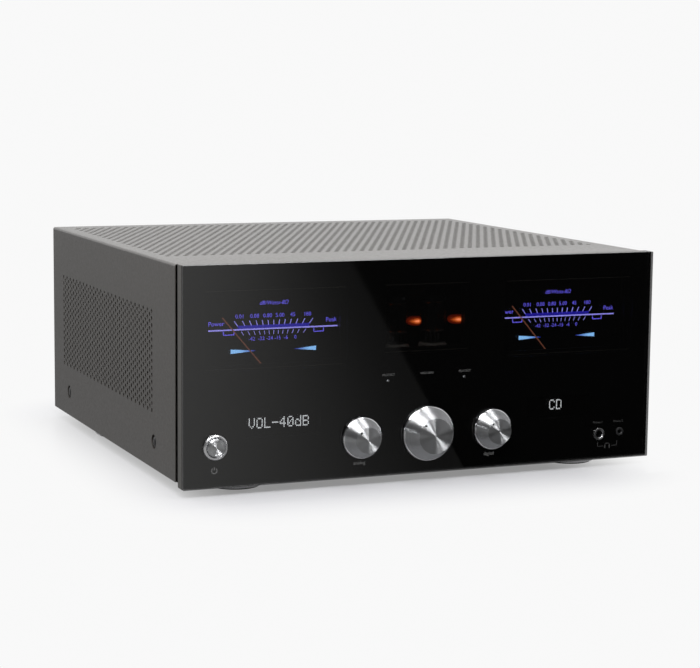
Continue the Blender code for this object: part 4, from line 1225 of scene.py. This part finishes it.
def make_materials():
    made = {name: finish(*look) for name, look in FINISHES.items()}
    for name, shine in SPECULAR_LEVELS.items():
        setting(made[name], "Specular IOR Level", shine)
    made.update({name: glowing(*look) for name, look in GLOWS.items()})
    made["wedge_blue"] = make_wedge_material()
    made["spun"] = turned_metal("spun_aluminium", (0.80, 0.81, 0.83), 0.42)
    made["glass"] = make_glass("tinted_glass", (0.0012, 0.0012, 0.0012), 0.04, 0.65, 1.8)
    made["tube_glass"] = make_glass("tube_glass", (0.004, 0.004, 0.004), 0.05, 0.3)
    made["lamp"] = make_lamp_material()
    made["frame"] = make_frame_material((0.002, 0.002, 0.002))
    return made


def make_glass(name, colour, rough, alpha, bend=1.5):
    """See-through sheet glass: a dark body that lets some of what is behind it through."""
    made = new_material(name, colour, rough, Alpha=alpha, Specular_IOR_Level=1.0, IOR=bend)
    made.blend_method = "BLEND"
    return made


def make_lamp_material():
    """An amber lens that is hot at its root and fades to deep red at its tip and round its edge."""
    made = finish("amber_lens", (0.02, 0.004, 0.002), 0.5, polish=(0.05, 400))
    place = axes(made, "Generated")
    along = add_ramp(made, place["X"], LAMP_ALONG)
    away = calc(made, "ABSOLUTE", calc(made, "SUBTRACT", place["Z"], 0.5))
    level = calc(made, "MULTIPLY", along, ranged(made, away, 1.0, 0.0, 0.02, 0.46))
    feed(made, "Emission Color", add_ramp(made, level, LAMP_COLOURS))
    setting(made, "Emission Strength", 8.0)
    return made


def grey_stops(*pairs):
    return [(place, (value, value, value)) for place, value in pairs]


LAMP_ALONG = grey_stops((0.0, 0.3), (0.55, 1.0), (0.7, 1.0), (1.0, 0.2))
LAMP_COLOURS = (
    (0.0, (0, 0, 0)), (0.4, (0.08, 0.005, 0)), (0.7, (0.4, 0.07, 0.01)), (1.0, (0.95, 0.25, 0.1)),
)


def add_ramp(made, source, stops):
    """A colour ramp from (place, colour) stops, fed by the source."""
    tree = made.node_tree
    ramp = tree.nodes.new("ShaderNodeValToRGB")
    tree.links.new(source, ramp.inputs["Fac"])
    while len(ramp.color_ramp.elements) < len(stops):
        ramp.color_ramp.elements.new(0.5)
    for element, (place, colour) in zip(ramp.color_ramp.elements, stops):
        element.position = place
        element.color = (*colour, 1.0)
    return ramp.outputs["Color"]


def make_wedge_material():
    """Blue print that is brightest at the outer end of each wedge."""
    made = finish("scale_wedge", (0.02, 0.02, 0.02), 0.5, polish=(0.05, 400))
    pale, blue = (0.26, 0.56, 1.0), (0.03, 0.04, 0.40)
    stops = ((0.0, pale), (0.1, pale), (0.27, blue), (0.76, blue), (0.92, pale), (1.0, pale))
    feed(made, "Emission Color", add_ramp(made, axes(made, "Generated")["X"], stops))
    setting(made, "Emission Strength", 6.2)
    return made


def make_frame_material(inner):
    """Paint like the cover's on the frame's outer edges, black behind the glass."""
    made = finish("frame_paint", (0.066, 0.062, 0.056), 0.40, 0.0, (0.08, 900), (0.05, 500), (0.02, 1300))
    painted = made.node_tree.nodes["Principled BSDF"].inputs["Base Color"].links[0].from_socket
    place = axes(made, "Object")
    tests = []
    for axis, low, high in (("X", PANEL_LOW.x, PANEL_HIGH.x), ("Z", PANEL_LOW.z, PANEL_HIGH.z)):
        away = calc(made, "ABSOLUTE", calc(made, "SUBTRACT", place[axis], (low + high) / 2))
        tests.append(calc(made, "GREATER_THAN", away, (high - low) / 2 - 0.3 * MM))
    sideways = ranged(made, axes(made, "Normal")["Y"], 0.0, 1.0, -0.75, -0.6)
    outside = calc(made, "MULTIPLY", calc(made, "MAXIMUM", *tests), sideways)
    feed(made, "Base Color", blend_colour(made, outside, inner, painted))
    return made


CAD_FINISHES = {
    "front_glass": "glass",
    "front_frame": "frame",
    # The subpanel in the gap takes the gap's painted shade.
    "front_subpanel": "gap_black",
    "base_chassis": "black_steel",
    "rear_panel": "black_steel",
    "cover_screw": "black_screw",
    "encoder": "zinc",
    "power_switch": "black_plastic",
    "meter_housing": "black_plastic",
    "meter_dial": "dial",
    "meter_needle": "needle",
    "display_module": "display",
    "tube_socket": "ceramic",
    "tube_shelf": "black_steel",
    "tube_lamp_strip": "amber_strip",
    "heat_sink": "heat_sink",
    "toroidal_transformer": "winding",
    "transformer_clamp": "zinc",
    "main_board": "board",
    "reservoir_capacitor": "sleeve",
    "mains_inlet": "black_plastic",
    "mains_switch_frame": "black_plastic",
    "mains_rocker": "black_plastic",
    "speaker_terminal_plate": "black_plastic",
}


def dress_cad_nodes():
    for name, obj in NODES.items():
        for key, look in CAD_FINISHES.items():
            if key in name and not obj.hide_render:
                obj.data.materials.clear()
                obj.data.materials.append(MATERIALS[look])


# ---- the whole scene
MATERIALS = make_materials()
make_camera()
make_studio()
make_cover()
make_gap_shade_strip()
make_knobs()
make_power_button()
make_jacks()
make_meter_scales()
make_display_text()
make_front_print()
make_painted_window_highlights()
make_valves()
make_feet()
make_rear_sockets()
make_binding_posts()
make_rear_trim()
dress_cad_nodes()

scene_view = bpy.context.scene.view_settings
scene_view.view_transform = "Standard"
